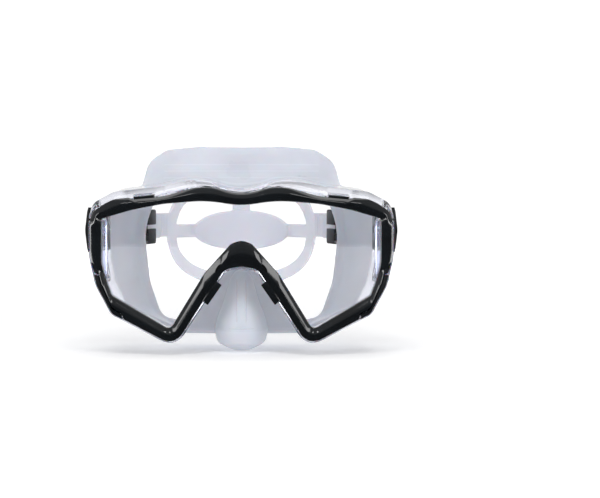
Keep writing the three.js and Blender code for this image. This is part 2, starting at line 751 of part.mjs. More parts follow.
// the split pad drawn flat: x along the strap, y through it, z up
function flatPad() {
  const thick = (points, t) => slab(points, -t / 2, t / 2);
  const plate = (x, z) => solid(box(-x, x, -padThickness / 2, padThickness / 2, -z, z));
  const [innerLength, innerHeight] = [ringHalfLength - ringBand, ringHalfHeight - ringBand];
  const outer = thick(ellipsePoints(ringHalfLength, ringHalfHeight, ringSquareness, 56), padThickness);
  const hole = thick(ellipsePoints(innerLength, innerHeight, ringSquareness, 48), padThickness + 2);
  const pad = thick(ellipsePoints(padHalfLength, padHalfHeight, 1, 36), padThickness);
  const upright = plate(bridgeWidth / 2, ringHalfHeight - 2);
  const level = plate(ringHalfLength - 2, sideBridgeWidth / 2);
  return join(cut(outer, hole), pad, upright, level).translate(0, 0, ringCentreZ);
}

function wrapped(geometry, curve) {
  const length = curve.getLength();
  const p = geometry.attributes.position;
  for (let i = 0; i < p.count; i += 1) {
    const s = p.getX(i);
    const side = Math.sign(s) || 1;
    const t = Math.min(Math.abs(s) / length, 1);
    const point = curve.getPointAt(t);
    const tangent = curve.getTangentAt(t);
    const out = p.getY(i);
    p.setXYZ(i, side * (point.x - tangent.y * out), point.y + tangent.x * out, p.getZ(i));
  }
  return geometry;
}

// one side band: along the curve, over the roller and back as the tail
function sideBand(curve) {
  const turnRadius = rollerRadius + gap + bandThickness / 2;
  const points = [];
  const add = ([x, y]) => points.push(new THREE.Vector2(x + eyeFaceX, y + pivotY));
  const first = (ringHalfLength - 5) / curve.getLength();
  for (let i = 0; i <= 14; i += 1) points.push(curve.getPointAt(THREE.MathUtils.lerp(first, 1, i / 14)));
  for (let i = 0; i <= 10; i += 1) {
    const a = (Math.PI * i) / 10;
    add(armPoint(rollerX + turnRadius * Math.cos(a), rollerAlong - turnRadius * Math.sin(a)));
  }
  add(armPoint(rollerX - turnRadius, buckleLength + tailLength));
  const side = (sign) => points.map((p, i) => {
    const before = points[Math.max(i - 1, 0)];
    const after = points[Math.min(i + 1, points.length - 1)];
    const along = after.clone().sub(before).normalize();
    return [p.x - along.y * sign * bandThickness / 2, p.y + along.x * sign * bandThickness / 2];
  });
  const ribbon = [...side(1), ...side(-1).reverse()];
  return solid(planPlate(ribbon, strapHeightZ - bandWidth / 2, strapHeightZ + bandWidth / 2));
}

function strap() {
  const curve = strapCurve();
  const fine = new TessellateModifier(12, 8).modify(geometryOf(flatPad()).toNonIndexed());
  const pad = solid(wrapped(mergeVertices(fine, 1e-4), curve));
  return join(pad, bothSides(sideBand(curve)));
}

// ---- assembly -------------------------------------------------------------------------------------------

const mask = new THREE.Group();

function addPiece(parent, name, geometry, look) {
  const finished = geometry.isBufferGeometry ? geometry : geometryOf(geometry);
  const mesh = new THREE.Mesh(finished, new THREE.MeshStandardMaterial(look));
  mesh.name = name;
  parent.add(mesh);
}

addPiece(mask, 'front_bezel', frontBezel(), glossBlack);
addPiece(mask, 'main_frame', mainFrame(), clearPlastic);
addPiece(mask, 'front_lens', frontLens(), glass);
addPiece(mask, 'front_lens_seal', frontSeal(), clearSilicone);
addPiece(mask, 'skirt', skirt(), clearSilicone);
addPiece(mask, 'strap', strap(), clearSilicone);

const sideOf = { left: (geometry) => geometry, right: mirrored };

for (const [side, placed] of Object.entries(sideOf)) {
  const sign = side === 'left' ? 1 : -1;
  const put = (parent, name, piece, look) => {
    const geometry = piece.isBufferGeometry ? piece : geometryOf(piece);
    addPiece(parent, `${name}_${side}`, placed(geometry), look);
  };
  put(mask, 'corner_clip', cornerClip(), satinBlack);
  put(mask, 'side_lens', sidePane(), glass);
  put(mask, 'side_lens_seal', sideSeal(), clearSilicone);
  const level = new THREE.Group();
  level.position.z = strapHeightZ;
  mask.add(level);
  put(level, 'side_bracket', sideBracket(), satinBlack);
  put(level, 'bracket_screw', bracketScrew(), steel);
  const buckle = new THREE.Group();
  buckle.position.set(sign * eyeFaceX, pivotY, 0);
  level.add(buckle);
  put(buckle, 'pivot_pin', pivotPin(), steel);
  put(buckle, 'buckle_body', buckleBody(), satinBlack);
  put(buckle, 'roller_axle', rollerAxle(), steel);
  put(buckle, 'strap_roller', strapRoller(), satinBlack);
  put(buckle, 'upper_button', squeezeButton(), satinBlack);
  put(buckle, 'lower_button', upsideDown(squeezeButton()), satinBlack);
  put(buckle, 'upper_spring', buttonSpring(), steel);
  put(buckle, 'lower_spring', upsideDown(buttonSpring()), steel);
}

export default mask;
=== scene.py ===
import bpy
import bmesh
import math
import numpy as np
from mathutils import Matrix, Vector


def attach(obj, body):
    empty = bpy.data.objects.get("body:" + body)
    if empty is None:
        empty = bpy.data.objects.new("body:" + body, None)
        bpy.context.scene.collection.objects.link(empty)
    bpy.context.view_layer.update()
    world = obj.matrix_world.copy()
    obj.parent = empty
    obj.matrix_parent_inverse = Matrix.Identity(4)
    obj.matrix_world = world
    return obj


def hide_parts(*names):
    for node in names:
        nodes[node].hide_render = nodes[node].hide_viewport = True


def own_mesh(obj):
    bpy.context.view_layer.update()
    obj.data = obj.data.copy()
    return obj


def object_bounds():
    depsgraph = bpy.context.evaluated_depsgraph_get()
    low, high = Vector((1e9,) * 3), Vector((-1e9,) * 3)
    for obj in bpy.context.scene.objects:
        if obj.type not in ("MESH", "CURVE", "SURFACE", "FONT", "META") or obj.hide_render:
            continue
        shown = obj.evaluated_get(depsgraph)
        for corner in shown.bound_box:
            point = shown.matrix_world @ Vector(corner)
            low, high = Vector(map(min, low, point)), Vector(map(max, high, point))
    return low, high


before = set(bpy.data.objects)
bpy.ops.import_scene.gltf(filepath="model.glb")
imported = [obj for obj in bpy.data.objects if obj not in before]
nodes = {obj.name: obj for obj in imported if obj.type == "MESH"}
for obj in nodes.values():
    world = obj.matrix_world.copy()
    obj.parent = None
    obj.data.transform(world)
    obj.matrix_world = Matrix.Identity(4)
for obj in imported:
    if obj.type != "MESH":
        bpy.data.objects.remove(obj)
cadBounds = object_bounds()
scene = bpy.context.scene
mm = 0.001
print("frame loaded:", len(nodes), "nodes")

# a node tree, with short calls to add nodes and to fill their inputs
class Tree:
    def __init__(self, tree):
        self.tree = tree
        self.link = tree.links.new

    # inputs takes a plain value or the output of another node for each input
    def put(self, kind, inputs=(), **properties):
        node = self.tree.nodes.new(kind)
        for key, value in properties.items():
            setattr(node, key, value)
        for key, value in dict(inputs).items():
            if isinstance(value, bpy.types.NodeSocket):
                self.link(value, node.inputs[key])
            else:
                node.inputs[key].default_value = value
        return node

    def maths(self, operation, a, b=0.0, c=0.5):
        return self.put("ShaderNodeMath", {0: a, 1: b, 2: c}, operation=operation).outputs[0]

    def spread(self, source, low, high, start=0.3, end=0.7):
        limits = {"From Min": start, "From Max": end, "To Min": low, "To Max": high}
        return self.put("ShaderNodeMapRange", {"Value": source, **limits}).outputs[0]

    def mix(self, factor, a, b):
        return self.put("ShaderNodeMix", {"Factor": factor, "A": a, "B": b}).outputs[0]


# a material around one Principled shader
class Shader(Tree):
    def __init__(self, name):
        self.material = bpy.data.materials.new(name)
        self.material.use_nodes = True
        super().__init__(self.material.node_tree)
        self.main = self.tree.nodes["Principled BSDF"]
        self.place = self.put("ShaderNodeTexCoord").outputs["Object"]

    def group(self, group, **values):
        inputs = {key.replace("_", " "): value for key, value in values.items()}
        return self.put("ShaderNodeGroup", {"Vector": self.place, **inputs}, node_tree=group).outputs

    def ramp(self, source, low, high, start=0.0, end=1.0):
        node = self.put("ShaderNodeValToRGB", {0: source})
        for element, colour, position in zip(node.color_ramp.elements, (low, high), (start, end)):
            element.color = (*colour, 1)
            element.position = position
        return node.outputs[0]

    def bump(self, height, strength, distance):
        node = self.put("ShaderNodeBump", {"Height": height, "Strength": strength, "Distance": distance})
        self.feed("Normal", node.outputs[0])

    def feed(self, label, source):
        self.link(source, self.main.inputs[label])

    def settle(self, **values):
        for key, value in values.items():
            self.main.inputs[key.replace("_", " ")].default_value = value


cameraSettings = {
    "distance": 0.9, "elevation": 2.5, "lens": 94.2, "aimY": -0.064, "shiftX": 0.0978, "shiftY": -0.0033,
    "nearest": 0.01, "farthest": 50,
}


def makeCamera(s):
    data = bpy.data.cameras.new("camera")
    camera = bpy.data.objects.new("camera", data)
    scene.collection.objects.link(camera)
    up = math.radians(s["elevation"])
    camera.location = (0, s["aimY"] - s["distance"] * math.cos(up), s["distance"] * math.sin(up))
    camera.rotation_euler = (math.pi / 2 - up, 0, 0)
    data.lens = s["lens"]
    data.sensor_width = 36
    data.shift_x = s["shiftX"]
    data.shift_y = s["shiftY"]
    data.clip_start = s["nearest"]
    data.clip_end = s["farthest"]
    scene.camera = camera


# place, aim, size and power of each softbox
lightSettings = {
    "top": ((0, 0.1, 0.9), (0, 0, 0), (0.8, 0.5), 2.2),
    "leftBank": ((-0.66, -0.6, 0.42), (-0.03, -0.05, 0), (0.3, 0.3), 1.2),
    "rightBank": ((0.66, -0.6, 0.42), (0.03, -0.05, 0), (0.3, 0.3), 1.2),
    "glintLeft": ((-0.2, -0.62, 0.62), (0, -0.06, 0), (0.1, 0.07), 0.22),
    "glintRight": ((0.2, -0.62, 0.62), (0, -0.06, 0), (0.1, 0.07), 0.22),
    "key": ((0, -0.75, 1.05), (0, -0.03, 0), (0.7, 0.3), 3.7),
    "lowLeft": ((-0.75, -0.85, 0.02), (0, -0.03, 0), (0.25, 0.5), 3.0),
    "lowRight": ((0.75, -0.85, 0.02), (0, -0.03, 0), (0.25, 0.5), 3.0),
}


def addSoftbox(name, place, aim, size, power):
    data = bpy.data.lights.new(name, "AREA")
    data.shape = "RECTANGLE"
    data.size, data.size_y = size
    data.energy = power
    lamp = bpy.data.objects.new(name, data)
    scene.collection.objects.link(lamp)
    lamp.location = place
    lamp.rotation_euler = (Vector(aim) - Vector(place)).to_track_quat("-Z", "Y").to_euler()
    lamp.visible_camera = False
    # the key light shapes the soft pieces and isn't mirrored in the black ones
    lamp.visible_glossy = name != "key"


# brightness by direction; each range is of the direction's Y or Z over which one passes into the next
roomSettings = {
    "seen": 1.12, "behind": 1.0, "above": 0.36, "infront": 0.1, "below": 0.08,
    "depthRange": (-0.75, 0.3), "highRange": (0.15, 0.75), "lowRange": (-0.5, 0.0),
    "straightRange": (0.45, 0.85),
}


def makeRoom(s):
    world = bpy.data.worlds.new("room")
    scene.world = world
    world.use_nodes = True
    room = Tree(world.node_tree)
    room.tree.nodes.clear()
    coord = room.put("ShaderNodeTexCoord")
    split = room.put("ShaderNodeSeparateXYZ", {0: coord.outputs["Generated"]})
    y, z = split.outputs["Y"], split.outputs["Z"]
    path = room.put("ShaderNodeLightPath")
    depth = room.spread(y, s["infront"], s["behind"], *s["depthRange"])
    high = room.mix(room.spread(z, 0, 1, *s["highRange"]), depth, s["above"])
    low = room.mix(room.spread(z, 0, 1, *s["lowRange"]), s["below"], high)
    straight = room.spread(y, 0, 1, *s["straightRange"])
    through = room.maths("MULTIPLY", path.outputs["Is Transmission Ray"], straight)
    seen = room.maths("MAXIMUM", path.outputs["Is Camera Ray"], through)
    strength = room.mix(seen, low, s["seen"])
    background = room.put("ShaderNodeBackground", {"Color": (1, 1, 1, 1), "Strength": strength})
    room.put("ShaderNodeOutputWorld", {"Surface": background.outputs[0]})


floorSettings = {
    "size": 3.0, "drop": 0.0005, "colour": (0.95, 0.95, 0.955, 1),
    "glow": 0.2, "farGlow": 0.8, "reach": (0.25, 0.9),
}


def makeFloor(s):
    half = s["size"] / 2
    z = cadBounds[0].z - s["drop"]
    mesh = bpy.data.meshes.new("floor")
    corners = [(-half, -half, z), (half, -half, z), (half, half, z), (-half, half, z)]
    mesh.from_pydata(corners, [], [(0, 1, 2, 3)])
    floor = bpy.data.objects.new("floor", mesh)
    scene.collection.objects.link(floor)
    paper = Shader("floorPaper")
    away = paper.put("ShaderNodeVectorMath", {0: paper.place}, operation="LENGTH")
    paper.feed("Emission Strength", paper.spread(away.outputs["Value"], s["glow"], s["farGlow"], *s["reach"]))
    paper.settle(Base_Color=s["colour"], Roughness=0.9, Specular_IOR_Level=0.1, Emission_Color=(1, 1, 1, 1))
    mesh.materials.append(paper.material)
    floor.visible_glossy = False


scene.view_settings.view_transform = "Standard"
scene.view_settings.look = "None"
makeCamera(cameraSettings)
makeRoom(roomSettings)
makeFloor(floorSettings)
for name, softbox in lightSettings.items():
    addSoftbox(name, *softbox)
print("camera, light and floor made")


# a shader group whose inputs are floats, or a vector where no value is given
def newGroup(name, inputs, outputs):
    group = Tree(bpy.data.node_groups.new(name, "ShaderNodeTree"))
    sockets = group.tree.interface
    for label, value in inputs.items():
        if value is None:
            sockets.new_socket(name=label, in_out="INPUT", socket_type="NodeSocketVector")
        else:
            socket = sockets.new_socket(name=label, in_out="INPUT", socket_type="NodeSocketFloat")
            socket.default_value = value
    for label in outputs:
        sockets.new_socket(name=label, in_out="OUTPUT", socket_type="NodeSocketFloat")
    return group, group.put("NodeGroupInput").outputs, group.put("NodeGroupOutput").inputs


# fine moulded grain: a height for a bump and a mask that breaks up the gloss
def makeGrainGroup():
    sizes = {"Vector": None, "Grain Size": 1200.0, "Cloud Size": 40.0}
    group, given, result = newGroup("mouldGrain", sizes, ("Height", "Mask"))
    for size, detail, label in (("Grain Size", 3, "Height"), ("Cloud Size", 5, "Mask")):
        inputs = {"Vector": given["Vector"], "Scale": given[size], "Detail": detail}
        group.link(group.put("ShaderNodeTexNoise", inputs).outputs["Fac"], result[label])
    return group.tree


# hairline scuffs along one direction
def makeScuffGroup():
    sizes = {"Vector": None, "Density": 300.0, "Amount": 0.5}
    group, given, result = newGroup("hairScuffs", sizes, ("Mask",))
    turned = {"Vector": given["Vector"], "Scale": (1, 0.6, 0.04), "Rotation": (0.3, 0.2, 0.6)}
    stretch = group.put("ShaderNodeMapping", turned).outputs[0]
    lines = group.put("ShaderNodeTexNoise", {"Vector": stretch, "Scale": given["Density"], "Detail": 2})
    sharp = group.spread(lines.outputs["Fac"], 0, 1, 0.6, 0.72)
    group.link(group.maths("MULTIPLY", sharp, given["Amount"]), result["Mask"])
    return group.tree


grainGroup = makeGrainGroup()
scuffGroup = makeScuffGroup()

blackSettings = {
    "glossBlack": {
        "low": (0.0018, 0.0028, 0.004), "high": (0.004, 0.0062, 0.0085), "rough": (0.07, 0.15), "bump": 0.012,
        "coat": 0.4, "gloss": 0.5},
    "satinBlack": {
        "low": (0.004, 0.005, 0.0065), "high": (0.009, 0.0105, 0.0135), "rough": (0.34, 0.5), "bump": 0.09,
        "coat": 0.0, "gloss": 0.2},
}


def makeBlack(name, s):
    shader = Shader(name)
    grain = shader.group(grainGroup, Grain_Size=1800.0, Cloud_Size=45.0)
    scuffs = shader.group(scuffGroup, Density=420.0, Amount=0.35)
    shader.feed("Base Color", shader.ramp(grain["Mask"], s["low"], s["high"], 0.35, 0.7))
    worn = shader.maths("MULTIPLY", scuffs["Mask"], 0.12)
    shader.feed("Roughness", shader.maths("ADD", shader.spread(grain["Mask"], *s["rough"]), worn))
    shader.bump(grain["Height"], s["bump"], 0.0002)
    shader.settle(IOR=1.5, Specular_IOR_Level=s["gloss"], Coat_Weight=s["coat"], Coat_Roughness=0.04)
    return shader.material


glassSettings = {
    "windowGlass": {
        "low": (0.985, 0.988, 0.996), "high": (0.996, 0.997, 1.0), "rough": (0.0, 0.012), "ior": 1.5},
    "sideGlass": {
        "low": (0.42, 0.47, 0.70), "high": (0.50, 0.55, 0.77), "rough": (0.0, 0.02), "ior": 1.5},
    "clearPlastic": {
        "low": (0.74, 0.75, 0.82), "high": (0.82, 0.83, 0.89), "rough": (0.03, 0.07), "ior": 1.49},
}


def makeGlass(name, s):
    shader = Shader(name)
    grain = shader.group(grainGroup, Grain_Size=900.0, Cloud_Size=18.0)
    scuffs = shader.group(scuffGroup, Density=260.0, Amount=0.3)
    shader.feed("Base Color", shader.ramp(grain["Mask"], s["low"], s["high"], 0.3, 0.7))
    worn = shader.maths("MULTIPLY", scuffs["Mask"], 0.03)
    shader.feed("Roughness", shader.maths("ADD", shader.spread(grain["Mask"], *s["rough"]), worn))
    shader.settle(IOR=s["ior"], Transmission_Weight=1.0)
    return shader.material


# "thick" is what a full wall thickness adds to the opacity
# each glow is painted light: an emission that brightens the silicone as if light were scattered through it
siliconeSettings = {
    "skirtSilicone": {
        "low": (0.46, 0.485, 0.55), "high": (0.53, 0.555, 0.62), "glow": 0.18, "alpha": 0.76, "thick": 0.2,
        "rough": (0.26, 0.4), "lines": True},
    "strapSilicone": {
        "low": (0.66, 0.68, 0.76), "high": (0.71, 0.73, 0.80), "glow": 0.08, "alpha": 0.66, "thick": 0.3,
        "rough": (0.3, 0.44), "lines": False},
    "sealSilicone": {
        "low": (0.78, 0.80, 0.88), "high": (0.84, 0.86, 0.94), "glow": 0.05, "alpha": 0.5, "thick": 0.0,
        "rough": (0.3, 0.4), "lines": False},
}
browLines = {"heights": (0.0476, 0.0437, 0.0397), "halfWidth": 0.0004, "reach": 0.047, "frontOf": -0.0005}


# 1 on the fine lines across the front of the brow
def browLineMask(shader, s):
    x, y, z = shader.put("ShaderNodeSeparateXYZ", {0: shader.place}).outputs
    total = 0.0
    for level in s["heights"]:
        total = shader.maths("ADD", total, shader.maths("COMPARE", z, level, s["halfWidth"]))
    near = shader.maths("LESS_THAN", shader.maths("ABSOLUTE", x), s["reach"])
    front = shader.maths("LESS_THAN", y, s["frontOf"])
    return shader.maths("MULTIPLY", total, shader.maths("MULTIPLY", near, front))


def makeSilicone(name, s):
    shader = Shader(name)
    grain = shader.group(grainGroup, Grain_Size=1500.0, Cloud_Size=30.0)
    shader.feed("Base Color", shader.ramp(grain["Mask"], s["low"], s["high"], 0.3, 0.7))
    shader.feed("Roughness", shader.spread(grain["Mask"], *s["rough"]))
    thickness = shader.put("ShaderNodeAttribute", attribute_name="wallThickness").outputs["Fac"]
    cloudy = shader.spread(grain["Mask"], s["alpha"] - 0.02, s["alpha"] + 0.02)
    alpha = shader.maths("ADD", cloudy, shader.maths("MULTIPLY", thickness, s["thick"]))
    height = shader.maths("MULTIPLY", grain["Height"], 0.12)
    if s["lines"]:
        shown = browLineMask(shader, browLines)
        height = shader.maths("ADD", height, shown)
        alpha = shader.maths("ADD", alpha, shader.maths("MULTIPLY", shown, 0.05))
    shader.feed("Alpha", alpha)
    shader.bump(height, 0.35, 0.0003)
    shader.settle(IOR=1.41, Specular_IOR_Level=0.4, Subsurface_Weight=0.5, Subsurface_Scale=0.003)
    # painted glow: the silicone gives off a faint light of its own, standing in for light scattered through
    # the milky walls
    shader.settle(Emission_Color=(0.9, 0.93, 1.0, 1), Emission_Strength=s["glow"])
    return shader.material


def makeSteel():
    shader = Shader("brushedSteel")
    grain = shader.group(grainGroup, Grain_Size=2500.0, Cloud_Size=120.0)
    shader.feed("Base Color", shader.ramp(grain["Height"], (0.42, 0.43, 0.45), (0.66, 0.67, 0.69)))
    shader.feed("Roughness", shader.spread(grain["Mask"], 0.2, 0.34))
    shader.settle(Metallic=1.0)
    shader.bump(grain["Height"], 0.1, 0.0001)
    return shader.material


materials = {"steel": makeSteel()}
materials.update({name: makeBlack(name, s) for name, s in blackSettings.items()})
materials.update({name: makeSilicone(name, s) for name, s in siliconeSettings.items()})
materials.update({name: makeGlass(name, s) for name, s in glassSettings.items()})
print("materials made")

# outlines, in millimetres: half of each, as x, z and corner radius
bezelCorners = [
    (0, 29.4, 40), (21, 35.8, 40), (45, 28.9, 50), (73, 26.4, 14), (86.9, 20, 8), (86.9, -6, 40),
    (83, -22.5, 14), (74.5, -38.5, 8), (38.6, -57.3, 10), (22.6, -32.7, 30), (9.3, -12.9, 8), (0, -11.5, 6)]
openingCorners = [
    (0, 23.3, 60), (20, 26.6, 80), (45, 24.6, 60), (64, 20.9, 40), (80.2, 16.1, 1.2), (80.2, -10, 20),
    (77.3, -20.6, 20), (74.4, -28.2, 3), (41.2, -47.8, 3.5), (21.5, -15.5, 20), (6.2, 1.6, 6), (0, 3.9, 14)]
shoulderCorners = [
    (0, 31.8, 40), (25, 39.9, 40), (48, 34.6, 30), (74, 31.6, 12), (87.6, 24.5, 8), (87.6, -6, 40),
    (83.8, -23.2, 14), (75.2, -39.8, 8), (38.4, -59.2, 10), (22.2, -34.2, 30), (9, -14.2, 8), (0, -12.8, 6)]
rearCorners = [
    (0, 32.6, 40), (26, 40.9, 40), (50, 36, 30), (72, 33, 12), (81.2, 26, 9), (81.2, -6, 40),
    (77.6, -23, 14), (70.4, -38.6, 8), (38, -57.6, 10), (22, -33.4, 30), (9, -14, 8), (0, -12.6, 6)]
bellyCorners = [
    (0, 46, 20), (25, 48, 20), (44, 45.5, 16), (55.5, 38, 14), (70.5, 30, 12), (74, 0, 40),
    (71, -23, 14), (64, -41, 10), (36, -55, 12)]
sealCorners = [
    (0, 58.6, 30), (26, 59, 30), (46, 57.2, 12), (57.5, 49.6, 14), (61.5, 34, 20), (67, 5, 40),
    (64, -22, 30), (57, -43, 16), (36, -56, 12)]
faceCorners = [
    (0, 42, 30), (30, 42, 20), (50, 34, 14), (59.5, 8, 40), (56, -24, 30), (48.5, -46, 10), (22, -49, 12)]
rimCorners = rearCorners[:8] + [(36, -53.5, 10)]


# cosine and sine at even steps round a circle
def circle(count):
    return [(math.cos(2 * math.pi * k / count), math.sin(2 * math.pi * k / count)) for k in range(count)]


def signedPower(value, power):
    return math.copysign(abs(value) ** power, value)


def loopOf(half):
    other = [(-x, z, r) for x, z, r in reversed(half) if x > 0]
    return list(half) + other


# moves every side of a clockwise corner loop outward
def offsetLoop(loop, distance):
    count = len(loop)
    sides = []
    for i in range(count):
        x, z, _ = loop[i]
        nx, nz, _ = loop[(i + 1) % count]
        along = Vector((nx - x, nz - z)).normalized()
        out = Vector((-along.y, along.x))
        sides.append((x + out.x * distance, z + out.y * distance, along))
    moved = []
    for i in range(count):
        ax, az, aAlong = sides[i - 1]
        bx, bz, bAlong = sides[i]
        cross = aAlong.x * bAlong.y - aAlong.y * bAlong.x
        if abs(cross) < 1e-6:
            moved.append((bx, bz, loop[i][2]))
            continue
        t = ((bx - ax) * bAlong.y - (bz - az) * bAlong.x) / cross
        r = max(0.4, loop[i][2] + (distance if cross < 0 else -distance))
        moved.append((ax + aAlong.x * t, az + aAlong.y * t, r))
    return moved


def roundLoop(loop, steps):
    points = []
    count = len(loop)
    for i in range(count):
        here = Vector(loop[i][:2])
        back = Vector(loop[i - 1][:2]) - here
        ahead = Vector(loop[(i + 1) % count][:2]) - here
        angle = back.angle(ahead)
        wanted = loop[i][2] / math.tan(angle / 2)
        reach = min(max(wanted, 0.2), 0.46 * min(back.length, ahead.length))
        start = here + back.normalized() * reach
        end = here + ahead.normalized() * reach
        for k in range(steps + 1):
            t = k / steps
            points.append(start * (1 - t) ** 2 + here * 2 * t * (1 - t) + end * t * t)
    return points


def outline(half, distance=0.0, steps=7):
    return roundLoop(offsetLoop(loopOf(half), distance), steps)


# the same loops with extra points, so that no step is longer than the spacing
def densify(loops, spacing):
    count = len(loops[0])
    dense = [[] for _ in loops]
    for i in range(count):
        j = (i + 1) % count
        longest = max((loop[j] - loop[i]).length for loop in loops)
        parts = max(1, math.ceil(longest / spacing))
        for k in range(parts):
            for new, loop in zip(dense, loops):
                new.append(loop[i].lerp(loop[j], k / parts))
    return dense


def makeObject(name, vertices, faces):
    mesh = bpy.data.meshes.new(name)
    mesh.from_pydata([tuple(c * mm for c in v) for v in vertices], [], faces)
    piece = bpy.data.objects.new(name, mesh)
    scene.collection.objects.link(piece)
    return piece


def recalculate(piece):
    edit = bmesh.new()
    edit.from_mesh(piece.data)
    bmesh.ops.remove_doubles(edit, verts=edit.verts, dist=1e-7)
    bmesh.ops.recalc_face_normals(edit, faces=edit.faces)
    edit.to_mesh(piece.data)
    edit.free()
    return piece


# closed surface through rings of equal length; joined end to end, or closed by flat ends
def skin(name, rings, endToEnd):
    count = len(rings[0])
    vertices = [p for ring in rings for p in ring]
    faces = []
    last = len(rings) if endToEnd else len(rings) - 1
    for k in range(last):
        a, b = k * count, ((k + 1) % len(rings)) * count
        for i in range(count):
            j = (i + 1) % count
            faces.append((a + i, a + j, b + j, b + i))
    if not endToEnd:
        faces.append(tuple(range(count - 1, -1, -1)))
        faces.append(tuple(range((len(rings) - 1) * count, len(rings) * count)))
    return recalculate(makeObject(name, vertices, faces))


def atDepth(points, y):
    return [(p.x, y, p.y) for p in points]


def prism(name, points, frontY, backY):
    return skin(name, [atDepth(points, frontY), atDepth(points, backY)], False)


def block(name, low, high):
    xs, ys, zs = zip(low, high)
    corners = [(x, y, z) for x in xs for y in ys for z in zs]
    faces = [(0, 1, 3, 2), (4, 6, 7, 5), (0, 4, 5, 1), (2, 3, 7, 6), (0, 2, 6, 4), (1, 5, 7, 3)]
    return recalculate(makeObject(name, corners, faces))


def bake(piece):
    graph = bpy.context.evaluated_depsgraph_get()
    mesh = bpy.data.meshes.new_from_object(piece.evaluated_get(graph))
    piece.modifiers.clear()
    old = piece.data
    piece.data = mesh
    bpy.data.meshes.remove(old)
    return piece


def combine(piece, operation, tools):
    for tool in tools:
        change = piece.modifiers.new("join", "BOOLEAN")
        change.operation = operation
        change.solver = "EXACT"
        change.object = tool
    bake(piece)
    for tool in tools:
        bpy.data.objects.remove(tool)
    return piece


def joined(pieces):
    edit = bmesh.new()
    for piece in pieces:
        edit.from_mesh(piece.data)
    edit.to_mesh(pieces[0].data)
    edit.free()
    for piece in pieces[1:]:
        bpy.data.objects.remove(piece)
    return pieces[0]


def mirrored(piece):
    other = bpy.data.objects.new(piece.name + "Other", piece.data.copy())
    scene.collection.objects.link(other)
    other.data.transform(Matrix.Scale(-1, 4, (1, 0, 0)))
    other.data.flip_normals()
    return other


def coordinates(mesh):
    flat = np.empty(len(mesh.vertices) * 3, np.float32)
    mesh.vertices.foreach_get("co", flat)
    return flat.reshape(-1, 3).astype(float)


def setCoordinates(mesh, places):
    mesh.vertices.foreach_set("co", places.astype(np.float32).ravel())
    mesh.update()


def bevelled(piece, width, segments=2):
    soften = piece.modifiers.new("soften", "BEVEL")
    soften.width = width * mm
    soften.segments = segments
    return bake(piece)


# one even skin over parts that overlap, with its creases relaxed
def evened(piece, voxel, rounds):
    remesh = piece.modifiers.new("even", "REMESH")
    remesh.mode = "VOXEL"
    remesh.voxel_size = voxel * mm
    relax = piece.modifiers.new("relax", "SMOOTH")
    relax.factor = 0.5
    relax.iterations = rounds
    return bake(piece)


def finishPiece(piece, material, body, slot, *replaced, angle=32):
    piece.data.materials.clear()
    piece.data.materials.append(materials[material])
    piece.data.shade_smooth()
    piece.data.set_sharp_from_angle(angle=math.radians(angle))
    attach(piece, body)
    if replaced:
        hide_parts(*replaced)
    return piece


bezelSettings = {
    "front": -64.0, "depth": 5.7, "spacing": 1.6,
    # share of the way from the outer edge to the opening, and depth behind the front
    "section": [(0.0, 5.7), (0.0, 2.9), (0.015, 2.3), (0.06, 1.8), (0.36, 0.35), (0.43, 0.08), (0.5, 0.0),
                (0.56, 0.12), (0.9, 1.95), (0.965, 2.35), (1.0, 3.0), (1.0, 5.7)],
    "capRise": 1.1, "capStart": 62.5, "capEnd": 64.5, "capFade": (78.0, 84.0), "capAbove": 20,
    "columnX": 78, "flatColumn": 0.22, "columnLow": -14.0, "columnHigh": 17.0, "columnFade": 4, "flatTo": 2.6,
    "clipX": 68.0, "clipTop": -15.5, "clipLow": -41.5, "clipWidth": 2.6, "clipGap": 0.3, "clipProud": 0.35,
    "clipSection": [(0.0, 5.7), (0.0, 3.2), (0.02, 2.5), (0.06, 2.1)],
    "tab": [(21.9, -31.7), (13.9, -20.2)], "tabRoot": 0.8, "tabWidth": 3.2, "tabSetback": 1.6,
    "extraBevel": 0.35,
    "hookX": 56.0, "hookZ": 28.2, "hookLength": 12.0, "hookHeight": 2.2, "hookLean": 5.0,
    "hookSetback": 3.0, "hookBack": -53.0,
    "slot": (13.4, -12.2), "slotLength": 5.6, "slotWidth": 1.7, "slotDepth": 2.2,
}


def bezelLoops(s):
    outer, inner = densify([outline(bezelCorners), outline(openingCorners)], s["spacing"])
    raised = []
    for p in outer:
        x = abs(p.x)
        share = min(max((x - s["capStart"]) / (s["capEnd"] - s["capStart"]), 0), 1)
        near, far = s["capFade"]
        fade = min(max((far - x) / (far - near), 0), 1)
        rise = s["capRise"] * share * fade if p.y > s["capAbove"] else 0
        raised.append(Vector((p.x, p.y + rise)))
    return raised, inner


def inClip(p, s, grow):
    return abs(p.x) > s["clipX"] - grow and s["clipLow"] - grow < p.y < s["clipTop"] + grow


# how strongly the rim is faceted at a place: the upright columns are nearly flat
def facetStrength(p, s):
    if abs(p.x) < s["columnX"]:
        return 1.0
    down = min(max((p.y - s["columnLow"]) / s["columnFade"], 0), 1)
    up = min(max((s["columnHigh"] - p.y) / s["columnFade"], 0), 1)
    return 1 - (1 - s["flatColumn"]) * down * up


# depth of the sloping face, the middle stretch of the section
def facetDepth(share, section):
    shares, depths = zip(*section[3:9])
    return float(np.interp(share, shares, depths))


